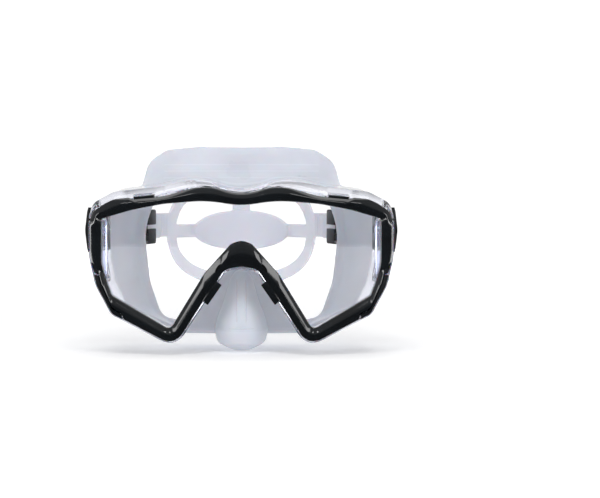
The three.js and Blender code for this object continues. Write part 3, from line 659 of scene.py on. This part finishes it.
def makeBezel(s):
    outer, inner = bezelLoops(s)
    rings = []
    for share, depth in s["section"]:
        ring = []
        for a, b in zip(outer, inner):
            f = share
            d = depth * facetStrength(a, s) if depth < s["flatTo"] else depth
            if inClip(a, s, s["clipGap"]):
                edge = (s["clipWidth"] + s["clipGap"]) / (b - a).length
                if f < edge:
                    f, d = edge, max(d, facetDepth(edge, s["section"]))
            place = a.lerp(b, f)
            ring.append((place.x, s["front"] + d, place.y))
        rings.append(ring)
    bezel = skin("bezel", rings, True)
    pieces = [bezel]
    low, high = (Vector(p) for p in s["tab"])
    along = (high - low).normalized()
    side = Vector((-along.y, along.x))
    root, reach = side * -s["tabRoot"], side * s["tabWidth"]
    tab = prism("tab", [low + root, high + root, high + reach, low + reach], s["front"] + s["tabSetback"],
                s["front"] + s["depth"])
    half, tall = s["hookLength"] / 2, s["hookHeight"] / 2
    turn = Matrix.Rotation(math.radians(-s["hookLean"]), 2)
    corners = [(-half, -tall), (half, -tall), (half, tall), (-half, tall)]
    corners = [turn @ Vector(corner) + Vector((s["hookX"], s["hookZ"])) for corner in corners]
    hook = prism("hook", corners, s["front"] + s["hookSetback"], s["hookBack"])
    for extra in (tab, hook):
        bevelled(extra, s["extraBevel"])
        pieces += [extra, mirrored(extra)]
    # the slot lies along the nose side of the rim
    direction = (Vector(bezelCorners[-3][:2]) - Vector(bezelCorners[-2][:2])).normalized()
    long = direction * s["slotLength"] / 2
    wide = Vector((-direction.y, direction.x)) * s["slotWidth"] / 2
    ends = [Vector(s["slot"]) + long * c + wide * n for c, n in circle(24)]
    slotTool = prism("slotTool", ends, s["front"] - 2, s["front"] + s["slotDepth"])
    combine(bezel, "DIFFERENCE", [slotTool, mirrored(slotTool)])
    return joined(pieces)


def makeClip(s):
    outer, inner = bezelLoops(s)
    chosen = [(a, b) for a, b in zip(outer, inner) if a.x > 0 and inClip(a, s, 0)]
    chosen.sort(key=lambda pair: math.atan2(pair[0].y, pair[0].x), reverse=True)
    sections = []
    for a, b in chosen:
        width = (b - a).length
        out = (a - b).normalized() * s["clipProud"]
        edge = s["clipWidth"] / width
        top = facetDepth(edge, s["section"])
        profile = s["clipSection"] + [(edge * 0.9, top + 0.25), (edge, top + 0.6), (edge, s["depth"])]
        ring = []
        for f, d in profile:
            place = a.lerp(b, f) + out * (1 - f / edge)
            ring.append((place.x, s["front"] + d, place.y))
        sections.append(ring)
    return skin("clip", sections, False)


bezel = makeBezel(bezelSettings)
finishPiece(bezel, "glossBlack", "mask", "gloss_black", "front_bezel", angle=28)
clipLeft = makeClip(bezelSettings)
clipRight = mirrored(clipLeft)
finishPiece(clipLeft, "satinBlack", "mask", "satin_black", "corner_clip_left")
finishPiece(clipRight, "satinBlack", "mask", "satin_black", "corner_clip_right")
print("bezel and clips made")

frameSettings = {
    "front": -58.0, "shoulder": -50.0, "rear": -24.0, "margin": 1.2, "wall": 3.0, "seat": 2.6,
    "ledgeFront": -52.6, "shoulderX": 87.6, "rearX": 81.2,
    "paneLength": 15.5, "paneHeight": 35.0, "paneCorner": 3.0, "paneThickness": 3.0, "paneLip": 1.4,
    "paneSeal": 0.9, "paneY": -40.2, "paneZ": -3.0, "paneRecess": 1.0, "paneReach": 16, "gap": 0.3,
    "lug": ((76.0, -30.2, -3.5), (89.4, -24.0, 20.5)), "lugBevel": 0.8,
    "screwY": -27.1, "screwZ": 8.5, "screwRadius": 1.9, "screwSpan": (81.4, 93),
    "hookSpan": (-60, -52.7), "rib": ((-2.6, -58.6, -0.35), (2.6, -57.2, 0.35)), "ribLean": -48, "ribX": 44.0,
    "ribZ": 31.6,
}


def paneTool(name, s, grow, inward, outward):
    length, tall = s["paneLength"] / 2 + grow, s["paneHeight"] / 2 + grow
    r = s["paneCorner"] + grow
    corners = [(-length, tall, r), (length, tall, r), (length, -tall, r), (-length, -tall, r)]
    flat = roundLoop(corners, 8)
    lean = math.atan2(s["shoulderX"] - s["rearX"], s["rear"] - s["shoulder"])
    share = (s["paneY"] - s["shoulder"]) / (s["rear"] - s["shoulder"])
    outerX = s["shoulderX"] + (s["rearX"] - s["shoulderX"]) * share
    tool = skin(name, [[(depth, p.x, p.y) for p in flat] for depth in (-inward, outward)], False)
    tool.data.transform(Matrix.Rotation(lean, 4, "Z"))
    tool.data.transform(Matrix.Translation(Vector((outerX - s["paneRecess"], s["paneY"], s["paneZ"])) * mm))
    return tool


# a box turned about Y and set at x, z
def leaningBlock(name, low, high, lean, x, z):
    piece = block(name, low, high)
    piece.data.transform(Matrix.Rotation(math.radians(lean), 4, "Y"))
    piece.data.transform(Matrix.Translation(Vector((x, 0, z)) * mm))
    return piece


def makeFrame(s):
    hook = bezelSettings
    front, shoulder, rear, wall, ledge = s["front"], s["shoulder"], s["rear"], s["wall"], s["ledgeFront"]
    opened = s["seat"] + s["gap"]
    # outline, its offset, and depth
    section = [
        (bezelCorners, s["margin"] - 0.5, front), (bezelCorners, s["margin"], front + 0.5),
        (shoulderCorners, -0.25, shoulder - 1.0), (shoulderCorners, 0, shoulder),
        (shoulderCorners, -0.45, shoulder + 1.6), (rearCorners, 0.1, rear - 0.5), (rearCorners, -0.4, rear),
        (rearCorners, -wall + 0.4, rear), (rearCorners, -wall, rear - 0.5),
        (openingCorners, s["seat"], shoulder), (openingCorners, s["gap"], shoulder),
        (openingCorners, s["gap"], ledge), (openingCorners, opened, ledge),
        (openingCorners, opened, front + 0.3), (openingCorners, opened + 0.3, front),
    ]
    body = skin("clearFrame", [atDepth(outline(half, grow), y) for half, grow, y in section], True)
    lug = bevelled(block("lug", *s["lug"]), s["lugBevel"], 3)
    lugOther = mirrored(lug)
    far = s["paneReach"]
    through = paneTool("through", s, -s["paneLip"], far, far)
    rebate = paneTool("rebate", s, s["paneSeal"] + 2 * s["gap"], s["paneThickness"] + s["gap"], far)
    half, tall = hook["hookLength"] / 2 + s["gap"], hook["hookHeight"] / 2 + s["gap"]
    near, back = s["hookSpan"]
    hole = leaningBlock("hookHole", (-half, near, -tall), (half, back, tall), hook["hookLean"], hook["hookX"],
                        hook["hookZ"])
    rib = leaningBlock("ribMark", *s["rib"], s["ribLean"], s["ribX"], s["ribZ"])
    cutters = [through, rebate, mirrored(through), mirrored(rebate), hole, mirrored(hole), rib, mirrored(rib)]
    combine(body, "DIFFERENCE", cutters)
    combine(body, "UNION", [lug, lugOther])
    hollow = [(openingCorners, s["seat"], shoulder), (rearCorners, -wall, rear),
              (rearCorners, -wall, rear + 2)]
    rings = [atDepth(outline(half, grow), y) for half, grow, y in hollow]
    combine(body, "DIFFERENCE", [skin("inside", rings, False)])
    y, z, r = s["screwY"], s["screwZ"], s["screwRadius"]
    holes = []
    for sign in (1, -1):
        rings = [[(sign * x, y + r * c, z + r * n) for c, n in circle(24)] for x in s["screwSpan"]]
        holes.append(skin("screwHole", rings, False))
    return combine(body, "DIFFERENCE", holes)


clearFrame = makeFrame(frameSettings)
finishPiece(clearFrame, "clearPlastic", "mask", "clear_plastic", "main_frame", angle=30)
print("main frame made")

skirtSettings = {
    "points": 220, "rimY": -23.7, "bellyY": -10.0, "sealY": -1.5, "rearY": 0.0, "wall": 2.2, "gap": 0.3,
    "bow": 9.0, "bowX": 67.0, "voxel": 0.85, "pocketWall": 2.0, "pocketPower": 0.9,
    "ribX": 2.6, "ribSpan": (-20.5, -44.5), "ribRadius": 0.55,
    "crossHalf": 7.5, "crossZ": -48.4, "crossRadius": 0.35,
    # where the wall reads as thick, and by how much: ahead of a depth and below a height
    "thickAhead": (-21, 0.55), "thickBelow": (-50, 0.25),
    # height, half width, front, back
    "pocket": [(-15.5, 3, -35, -24), (-18, 5.4, -39, -21), (-24, 7.6, -43.5, -18), (-34, 10.5, -48, -13),
               (-45, 14.5, -51, -9), (-53, 15.5, -51, -8), (-59, 12.5, -48, -11), (-62.5, 5.5, -38, -19)],
}


# distance of a star-shaped loop from the origin at each wanted angle
def polarLoop(points, wanted):
    dense = densify([points], 0.8)[0]
    angles = np.array([math.atan2(p.y, p.x) for p in dense])
    radii = np.array([p.length for p in dense])
    order = np.argsort(angles)
    return np.interp(wanted, angles[order], radii[order], period=2 * math.pi)


def hermite(values, stations, wanted):
    values = np.array(values, float)
    stations = np.array(stations, float)
    slopes = np.gradient(values, stations, axis=0)
    rows = []
    for w in wanted:
        k = min(max(np.searchsorted(stations, w) - 1, 0), len(stations) - 2)
        h = stations[k + 1] - stations[k]
        t = (w - stations[k]) / h
        a, b = values[k], values[k + 1]
        rows.append((2 * t**3 - 3 * t**2 + 1) * a + (t**3 - 2 * t**2 + t) * h * slopes[k]
                    + (3 * t**2 - 2 * t**3) * b + (t**3 - t**2) * h * slopes[k + 1])
    return rows


# front and back are depths of the pocket; the section at each height is a soft-cornered oval
def pocketRows(s, wanted):
    rows = s["pocket"][::-1]
    return hermite([row[1:] for row in rows], [row[0] for row in rows], wanted)


def makePocket(name, s, inset):
    top, bottom = s["pocket"][0][0], s["pocket"][-1][0]
    heights = np.linspace(top, bottom, 26)
    sections = []
    for z, (half, front, back) in zip(heights, pocketRows(s, heights[::-1])[::-1]):
        share = (z - top) / (bottom - top)
        height = z + inset * (2 * share - 1)
        wide, deep = half - inset, (back - front) / 2 - inset
        section = []
        for c, n in circle(48):
            x = signedPower(c, s["pocketPower"]) * wide
            y = signedPower(n, s["pocketPower"]) * deep
            section.append((x, (front + back) / 2 + y, height))
        sections.append(section)
    return skin(name, sections, False)


def makeSkirt(s):
    count, wall, rim, rear = s["points"], s["wall"], s["rimY"], s["rearY"]
    angles = np.linspace(-math.pi, math.pi, count, endpoint=False)

    def radii(half, distance):
        return polarLoop(outline(half, distance, 9), angles)

    def ring(radius, y):
        return [(r * math.cos(a), y, r * math.sin(a)) for r, a in zip(radius, angles)]

    # rings of the side wall at many depths, through the radii at a few
    def wallRings(radiusAt, stations, depths):
        return [ring(r, y) for r, y in zip(hermite(radiusAt, stations, depths), depths)]

    outer = [radii(rimCorners, -s["gap"]), radii(bellyCorners, 0), radii(sealCorners, 0)]
    inner = [radii(rimCorners, -s["gap"] - wall), radii(bellyCorners, -wall), radii(sealCorners, -wall)]
    shares = (0.02, 0.3, 0.6)
    rings = [ring(outer[0] * share, rim) for share in shares]
    belly, seal = s["bellyY"], s["sealY"]
    rings += wallRings(outer, [rim, belly, seal], np.linspace(rim, seal, 16))
    rings += [ring(radii(sealCorners, -0.8), rear), ring(radii(faceCorners, 0.5), rear),
              ring(radii(faceCorners, 0), rear - 0.8), ring(radii(faceCorners, 0.4), rear - wall)]
    front, back = rim + wall, rear - wall
    rings += wallRings(inner, [front, belly, back], np.linspace(back, front, 16))
    rings += [ring(inner[0] * share, front) for share in shares[::-1]]
    shell = skin("skirt", rings, False)
    combine(shell, "UNION", [makePocket("pocketOuter", s, 0)])
    windows = prism("windows", outline(rearCorners, -frameSettings["wall"]), rim - 1, rim + wall + 1)
    combine(shell, "DIFFERENCE", [windows, makePocket("pocketInner", s, s["pocketWall"])])
    evened(shell, s["voxel"], 5)
    # the face edge curves back towards the temples
    places = coordinates(shell.data)
    along = np.clip((places[:, 1] / mm - rim) / (rear - rim), 0, 1)
    along = along * along * (3 - 2 * along)
    places[:, 1] += s["bow"] * mm * along * (places[:, 0] / (s["bowX"] * mm)) ** 2
    setCoordinates(shell.data, places)
    return shell


# how thick the wall reads at each point, from 0 to 1, for the material
def markThickness(piece, values):
    layer = piece.data.attributes.new("wallThickness", "FLOAT", "POINT")
    layer.data.foreach_set("value", np.clip(values, 0, 1).astype(np.float32))


skirt = makeSkirt(skirtSettings)
places = coordinates(skirt.data) / mm
depth, ahead = skirtSettings["thickAhead"]
height, below = skirtSettings["thickBelow"]
markThickness(skirt, ahead * (places[:, 1] < depth) + below * (places[:, 2] < height))
finishPiece(skirt, "skirtSilicone", "mask", "clear_silicone", "skirt", angle=60)
skirt.name = "skirt_body"


# a soft round rib on the front of the nose pocket, through x, z places
def noseRib(name, s, line, radius):
    rings = []
    for k, (x, z) in enumerate(line):
        half, front, back = pocketRows(s, [z])[0]
        inward = (1 - min(abs(x) / half, 1) ** 2.2) ** 0.45
        y = (front + back) / 2 - (back - front) / 2 * inward
        thin = radius * math.sin(math.pi * (k + 0.5) / len(line)) ** 0.3
        if line[0][1] == line[-1][1]:
            rings.append([(x, y + thin * n, z + thin * c) for c, n in circle(10)])
        else:
            rings.append([(x + thin * c, y + thin * n, z) for c, n in circle(10)])
    return skin(name, rings, False)


def makeNoseRibs(s):
    down = np.linspace(*s["ribSpan"], 28)
    across = np.linspace(-s["crossHalf"], s["crossHalf"], 28)
    ribs = [noseRib("nose_ribs", s, [(x, z) for z in down], s["ribRadius"]) for x in (s["ribX"], -s["ribX"])]
    ribs.append(noseRib("ribAcross", s, [(x, s["crossZ"]) for x in across], s["crossRadius"]))
    return joined(ribs)


noseRibs = makeNoseRibs(skirtSettings)
finishPiece(noseRibs, "skirtSilicone", "mask", "clear_silicone")
print("skirt made:", len(skirt.data.polygons), "faces")

strapSettings = {
    "curve": [(0, 110), (32, 110), (54.24, 88.18), (65.26, 49.73)],
    "ring": (58.0, 38.0), "ringBand": 8.0, "square": 0.92, "pad": (34.0, 13.5), "centreZ": 4.0,
    "thickness": 2.4, "padExtra": 0.25, "padMark": (1.08, 0.12), "bridge": 12.0, "sideBridge": 9.0, "sunk": 3,
    "bandZ": 8.5, "bandWidth": 16.0, "bandThickness": 1.8, "voxel": 0.6,
    "pivot": (80.2, 2.0), "lean": 16.0, "rollerX": -4.8, "rollerAlong": 29.5, "turn": 3.6, "tail": 66.0,
    "ribPitch": 1.9, "ribHeight": 0.32,
}


def strapTable(s):
    p0, p1, p2, p3 = (np.array(p, float) for p in s["curve"])
    t = np.linspace(0, 1, 600)[:, None]
    points = (1 - t) ** 3 * p0 + 3 * t * (1 - t) ** 2 * p1 + 3 * t**2 * (1 - t) * p2 + t**3 * p3
    steps = np.linalg.norm(np.diff(points, axis=0), axis=1)
    length = np.concatenate([[0], np.cumsum(steps)])
    tangent = np.gradient(points, length, axis=0)
    tangent /= np.linalg.norm(tangent, axis=1)[:, None]
    return points, length, tangent


curvePoints, curveLength, curveTangent = strapTable(strapSettings)


# carries a flat piece (x along the strap, y through it) on to the strap's curve
def wrapOnCurve(places):
    along = np.abs(places[:, 0])
    side = np.where(places[:, 0] < 0, -1.0, 1.0)
    point = [np.interp(along, curveLength, curvePoints[:, k]) for k in (0, 1)]
    tangent = [np.interp(along, curveLength, curveTangent[:, k]) for k in (0, 1)]
    over = np.maximum(along - curveLength[-1], 0)
    x = point[0] + tangent[0] * over - tangent[1] * places[:, 1]
    y = point[1] + tangent[1] * over + tangent[0] * places[:, 1]
    return np.stack([side * x, y, places[:, 2]], 1)


def superEllipse(length, height, power):
    return [Vector((signedPower(c, power) * length, signedPower(n, power) * height)) for c, n in circle(120)]


# a flat plate with its edges taken off
def plate(name, points, half, edge):
    inner = [p * (1 - edge / p.length) for p in points]
    rings = [(inner, -half), (points, -half + edge * 0.8), (points, half - edge * 0.8), (inner, half)]
    return skin(name, [atDepth(ring, y) for ring, y in rings], False)


def bar(name, low, high):
    return bevelled(block(name, low, high), 0.6)


def makeStrap(s):
    half = s["thickness"] / 2
    length, height = s["ring"]
    ring = plate("strap", superEllipse(length, height, s["square"]), half, 0.7)
    hole = prism("hole", superEllipse(length - s["ringBand"], height - s["ringBand"], s["square"]), -4, 4)
    combine(ring, "DIFFERENCE", [hole])
    pad = plate("pad", superEllipse(*s["pad"], 1.0), half + s["padExtra"], 0.8)
    parts = [ring, pad]
    b, c = s["bridge"] / 2, s["sideBridge"] / 2
    upright, level = height - s["sunk"], length - s["sunk"]
    parts.append(bar("upright", (-b, -half, -upright), (b, half, upright)))
    parts.append(bar("level", (-level, -half, -c), (level, half, c)))
    for piece in parts:
        piece.data.transform(Matrix.Translation((0, 0, s["centreZ"] * mm)))
    low, high = s["bandZ"] - s["bandWidth"] / 2, s["bandZ"] + s["bandWidth"] / 2
    thin = s["bandThickness"] / 2
    band = bar("band", (length - 5, -thin, low), (curveLength[-1] + 0.3, thin, high))
    parts += [band, mirrored(band)]
    strap = evened(joined(parts), s["voxel"], 6)
    flat = coordinates(strap.data) / mm
    reach = np.hypot(flat[:, 0] / s["pad"][0], (flat[:, 2] - s["centreZ"]) / s["pad"][1])
    full, fade = s["padMark"]
    markThickness(strap, (full - reach) / fade)
    setCoordinates(strap.data, wrapOnCurve(flat) * mm)
    return recalculate(strap)


def armPoint(s, out, along):
    lean = math.radians(s["lean"])
    x = out * math.cos(lean) - along * math.sin(lean) + s["pivot"][0]
    y = out * math.sin(lean) + along * math.cos(lean) + s["pivot"][1]
    return Vector((x, y))


# the band inside the buckle: to the roller, round it and back as the tail
def makeTurn(s):
    x, start, turn = s["rollerX"], s["rollerAlong"], s["turn"]
    path = [armPoint(s, -1.2, along) for along in np.linspace(50, start + 0.5, 8)]
    for a in np.linspace(0, math.pi, 17):
        path.append(armPoint(s, x + turn * math.cos(a), start - turn * math.sin(a)))
    path += [armPoint(s, x - turn, along) for along in np.linspace(start + 2, s["tail"], 12)]
    low, high = s["bandZ"] - s["bandWidth"] / 2, s["bandZ"] + s["bandWidth"] / 2
    t = s["bandThickness"] / 2
    e = 0.5
    profile = [(-t, low + e), (-t + e, low), (t - e, low), (t, low + e), (t, high - e), (t - e, high),
               (-t + e, high), (-t, high - e)]
    rings = []
    for i, p in enumerate(path):
        ahead = path[min(i + 1, len(path) - 1)] - path[max(i - 1, 0)]
        ahead.normalize()
        across = Vector((-ahead.y, ahead.x))
        rings.append([(p.x + across.x * o, p.y + across.y * o, z) for o, z in profile])
    return skin("bandTurn", rings, False)


strap = makeStrap(strapSettings)
finishPiece(strap, "strapSilicone", "strap_set", "clear_silicone", "strap", angle=60)
strap.name = "strap_body"
for side in ("left", "right"):
    turn = makeTurn(strapSettings)
    if side == "right":
        other = mirrored(turn)
        bpy.data.objects.remove(turn)
        turn = other
    turn.name = "band_turn_" + side
    finishPiece(turn, "strapSilicone", "strap_set", "clear_silicone", angle=40)
print("strap made:", len(strap.data.polygons), "faces")

# ratchet ribs along the bands, in metres
ribTreeInputs = {"Spacing": 0.0019, "Height": 0.00032, "Width": 0.0142, "Thickness": 0.0009}


def makeRibTree():
    ribs = Tree(bpy.data.node_groups.new("bandRibs", "GeometryNodeTree"))
    sockets = ribs.tree.interface
    sockets.new_socket(name="Geometry", in_out="INPUT", socket_type="NodeSocketGeometry")
    for label, value in ribTreeInputs.items():
        socket = sockets.new_socket(name=label, in_out="INPUT", socket_type="NodeSocketFloat")
        socket.default_value = value
    sockets.new_socket(name="Finish", in_out="INPUT", socket_type="NodeSocketMaterial")
    sockets.new_socket(name="Geometry", in_out="OUTPUT", socket_type="NodeSocketGeometry")
    given = ribs.put("NodeGroupInput").outputs
    line = ribs.put("GeometryNodeMeshToCurve", {"Mesh": given["Geometry"]}).outputs[0]
    points = ribs.put("GeometryNodeResampleCurve", {"Curve": line, "Length": given["Spacing"]}, mode="LENGTH")
    sizes = {"X": given["Thickness"], "Y": given["Height"], "Z": given["Width"]}
    size = ribs.put("ShaderNodeCombineXYZ", sizes).outputs[0]
    rib = ribs.put("GeometryNodeMeshCube", {"Size": size}).outputs["Mesh"]
    tangent = ribs.put("GeometryNodeInputTangent").outputs[0]
    turn = ribs.put("FunctionNodeAlignRotationToVector", {"Vector": tangent}, axis="X", pivot_axis="Z")
    copies = {"Points": points.outputs[0], "Instance": rib, "Rotation": turn.outputs[0]}
    placed = ribs.put("GeometryNodeInstanceOnPoints", copies).outputs[0]
    whole = ribs.put("GeometryNodeRealizeInstances", {0: placed}).outputs[0]
    painted = ribs.put("GeometryNodeSetMaterial", {"Geometry": whole, "Material": given["Finish"]})
    ribs.put("NodeGroupOutput", {"Geometry": painted.outputs[0]})
    return ribs.tree


ribTree = makeRibTree()


# a piece made by the rib tree along a line of points, in metres
def ribsAlong(name, points, finish, **sizes):
    mesh = bpy.data.meshes.new(name)
    mesh.from_pydata(points, [(i, i + 1) for i in range(len(points) - 1)], [])
    piece = bpy.data.objects.new(name, mesh)
    scene.collection.objects.link(piece)
    change = piece.modifiers.new("ribs", "NODES")
    change.node_group = ribTree
    for item in ribTree.interface.items_tree:
        if item.in_out == "INPUT" and item.name in sizes:
            change[item.identifier] = sizes[item.name]
        if item.in_out == "INPUT" and item.name == "Finish":
            change[item.identifier] = materials[finish]
    return bake(piece)


def bandRibLine(s, side):
    stations = np.arange(s["ring"][0] + 1.5, curveLength[-1] - 1, 0.5)
    out = s["bandThickness"] / 2 + s["ribHeight"] / 2 - 0.06
    flat = np.stack([stations, np.full_like(stations, -out), np.full_like(stations, s["bandZ"])], 1)
    wrapped = wrapOnCurve(flat) * mm
    wrapped[:, 0] *= side
    return [tuple(p) for p in wrapped]


for side, sign in (("left", 1), ("right", -1)):
    line = bandRibLine(strapSettings, sign)
    ribs = ribsAlong("band_ribs_" + side, line, "strapSilicone", Spacing=strapSettings["ribPitch"] * mm)
    finishPiece(ribs, "strapSilicone", "strap_set", "clear_silicone")
print("band ribs made")

# finish, body, slot and bevel width of the bevelled copies of small parts
softenSettings = {
    "side_bracket": ("satinBlack", "mask", "satin_black", 0.45),
    "buckle_body": ("satinBlack", "strap_set", "satin_black", 0.35),
    "upper_button": ("satinBlack", "upper_button", "satin_black", 0.3),
    "lower_button": ("satinBlack", "lower_button", "satin_black", 0.3),
    "strap_roller": ("satinBlack", "roller", "satin_black", 0.12),
    "bracket_screw": ("steel", "mask", "steel", 0.15),
    "pivot_pin": ("steel", "mask", "steel", 0.15),
}


def softened(node, width):
    piece = bpy.data.objects.new(node + "_finish", nodes[node].data.copy())
    scene.collection.objects.link(piece)
    edit = bmesh.new()
    edit.from_mesh(piece.data)
    bmesh.ops.remove_doubles(edit, verts=edit.verts, dist=2e-6)
    bmesh.ops.dissolve_limit(edit, angle_limit=math.radians(1.5), verts=edit.verts, edges=edit.edges)
    edit.to_mesh(piece.data)
    edit.free()
    soften = piece.modifiers.new("soften", "BEVEL")
    soften.width = width * mm
    soften.segments = 2
    soften.limit_method = "ANGLE"
    soften.angle_limit = math.radians(35)
    soften.harden_normals = False
    return bake(piece)


bracketCurve = {"from": 89.4, "centre": 8.5, "half": 13.6, "pull": 1.8}


# draws the outer face of a bracket in toward its top and bottom
def curveBracket(piece, s):
    places = coordinates(piece.data) / mm
    outer = np.abs(places[:, 0]) > s["from"]
    pull = s["pull"] * np.clip(np.abs(places[:, 2] - s["centre"]) / s["half"], 0, 1) ** 2
    room = np.clip(np.abs(places[:, 0]) - s["from"], 0, 1)
    places[:, 0] -= np.sign(places[:, 0]) * np.where(outer, pull * room, 0)
    setCoordinates(piece.data, places * mm)


for kind, (finish, body, slot, width) in softenSettings.items():
    for side in ("left", "right"):
        node = kind + "_" + side
        owner = body if body in ("mask", "strap_set") else body + "_" + side
        piece = softened(node, width)
        if kind == "side_bracket":
            curveBracket(piece, bracketCurve)
        finishPiece(piece, finish, owner, slot, node)
print("moulded parts softened")

# button springs, softened and each given a mesh of its own
for kind in ("upper", "lower"):
    for side in ("left", "right"):
        node = f"{kind}_spring_{side}"
        piece = softened(node, 0.05)
        finishPiece(piece, "steel", "strap_set", "steel", node)
        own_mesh(piece)
print("springs made")

# finish of the nodes that are shown as they are
carried = {
    "front_lens": "windowGlass", "side_lens_left": "sideGlass", "side_lens_right": "sideGlass",
    "front_lens_seal": "sealSilicone", "side_lens_seal_left": "sealSilicone",
    "side_lens_seal_right": "sealSilicone",
    "roller_axle_left": "steel", "roller_axle_right": "steel",
}
for node, finish in carried.items():
    mesh = nodes[node].data
    if not mesh.materials:
        mesh.materials.append(None)
    for k in range(len(mesh.materials)):
        mesh.materials[k] = materials[finish]
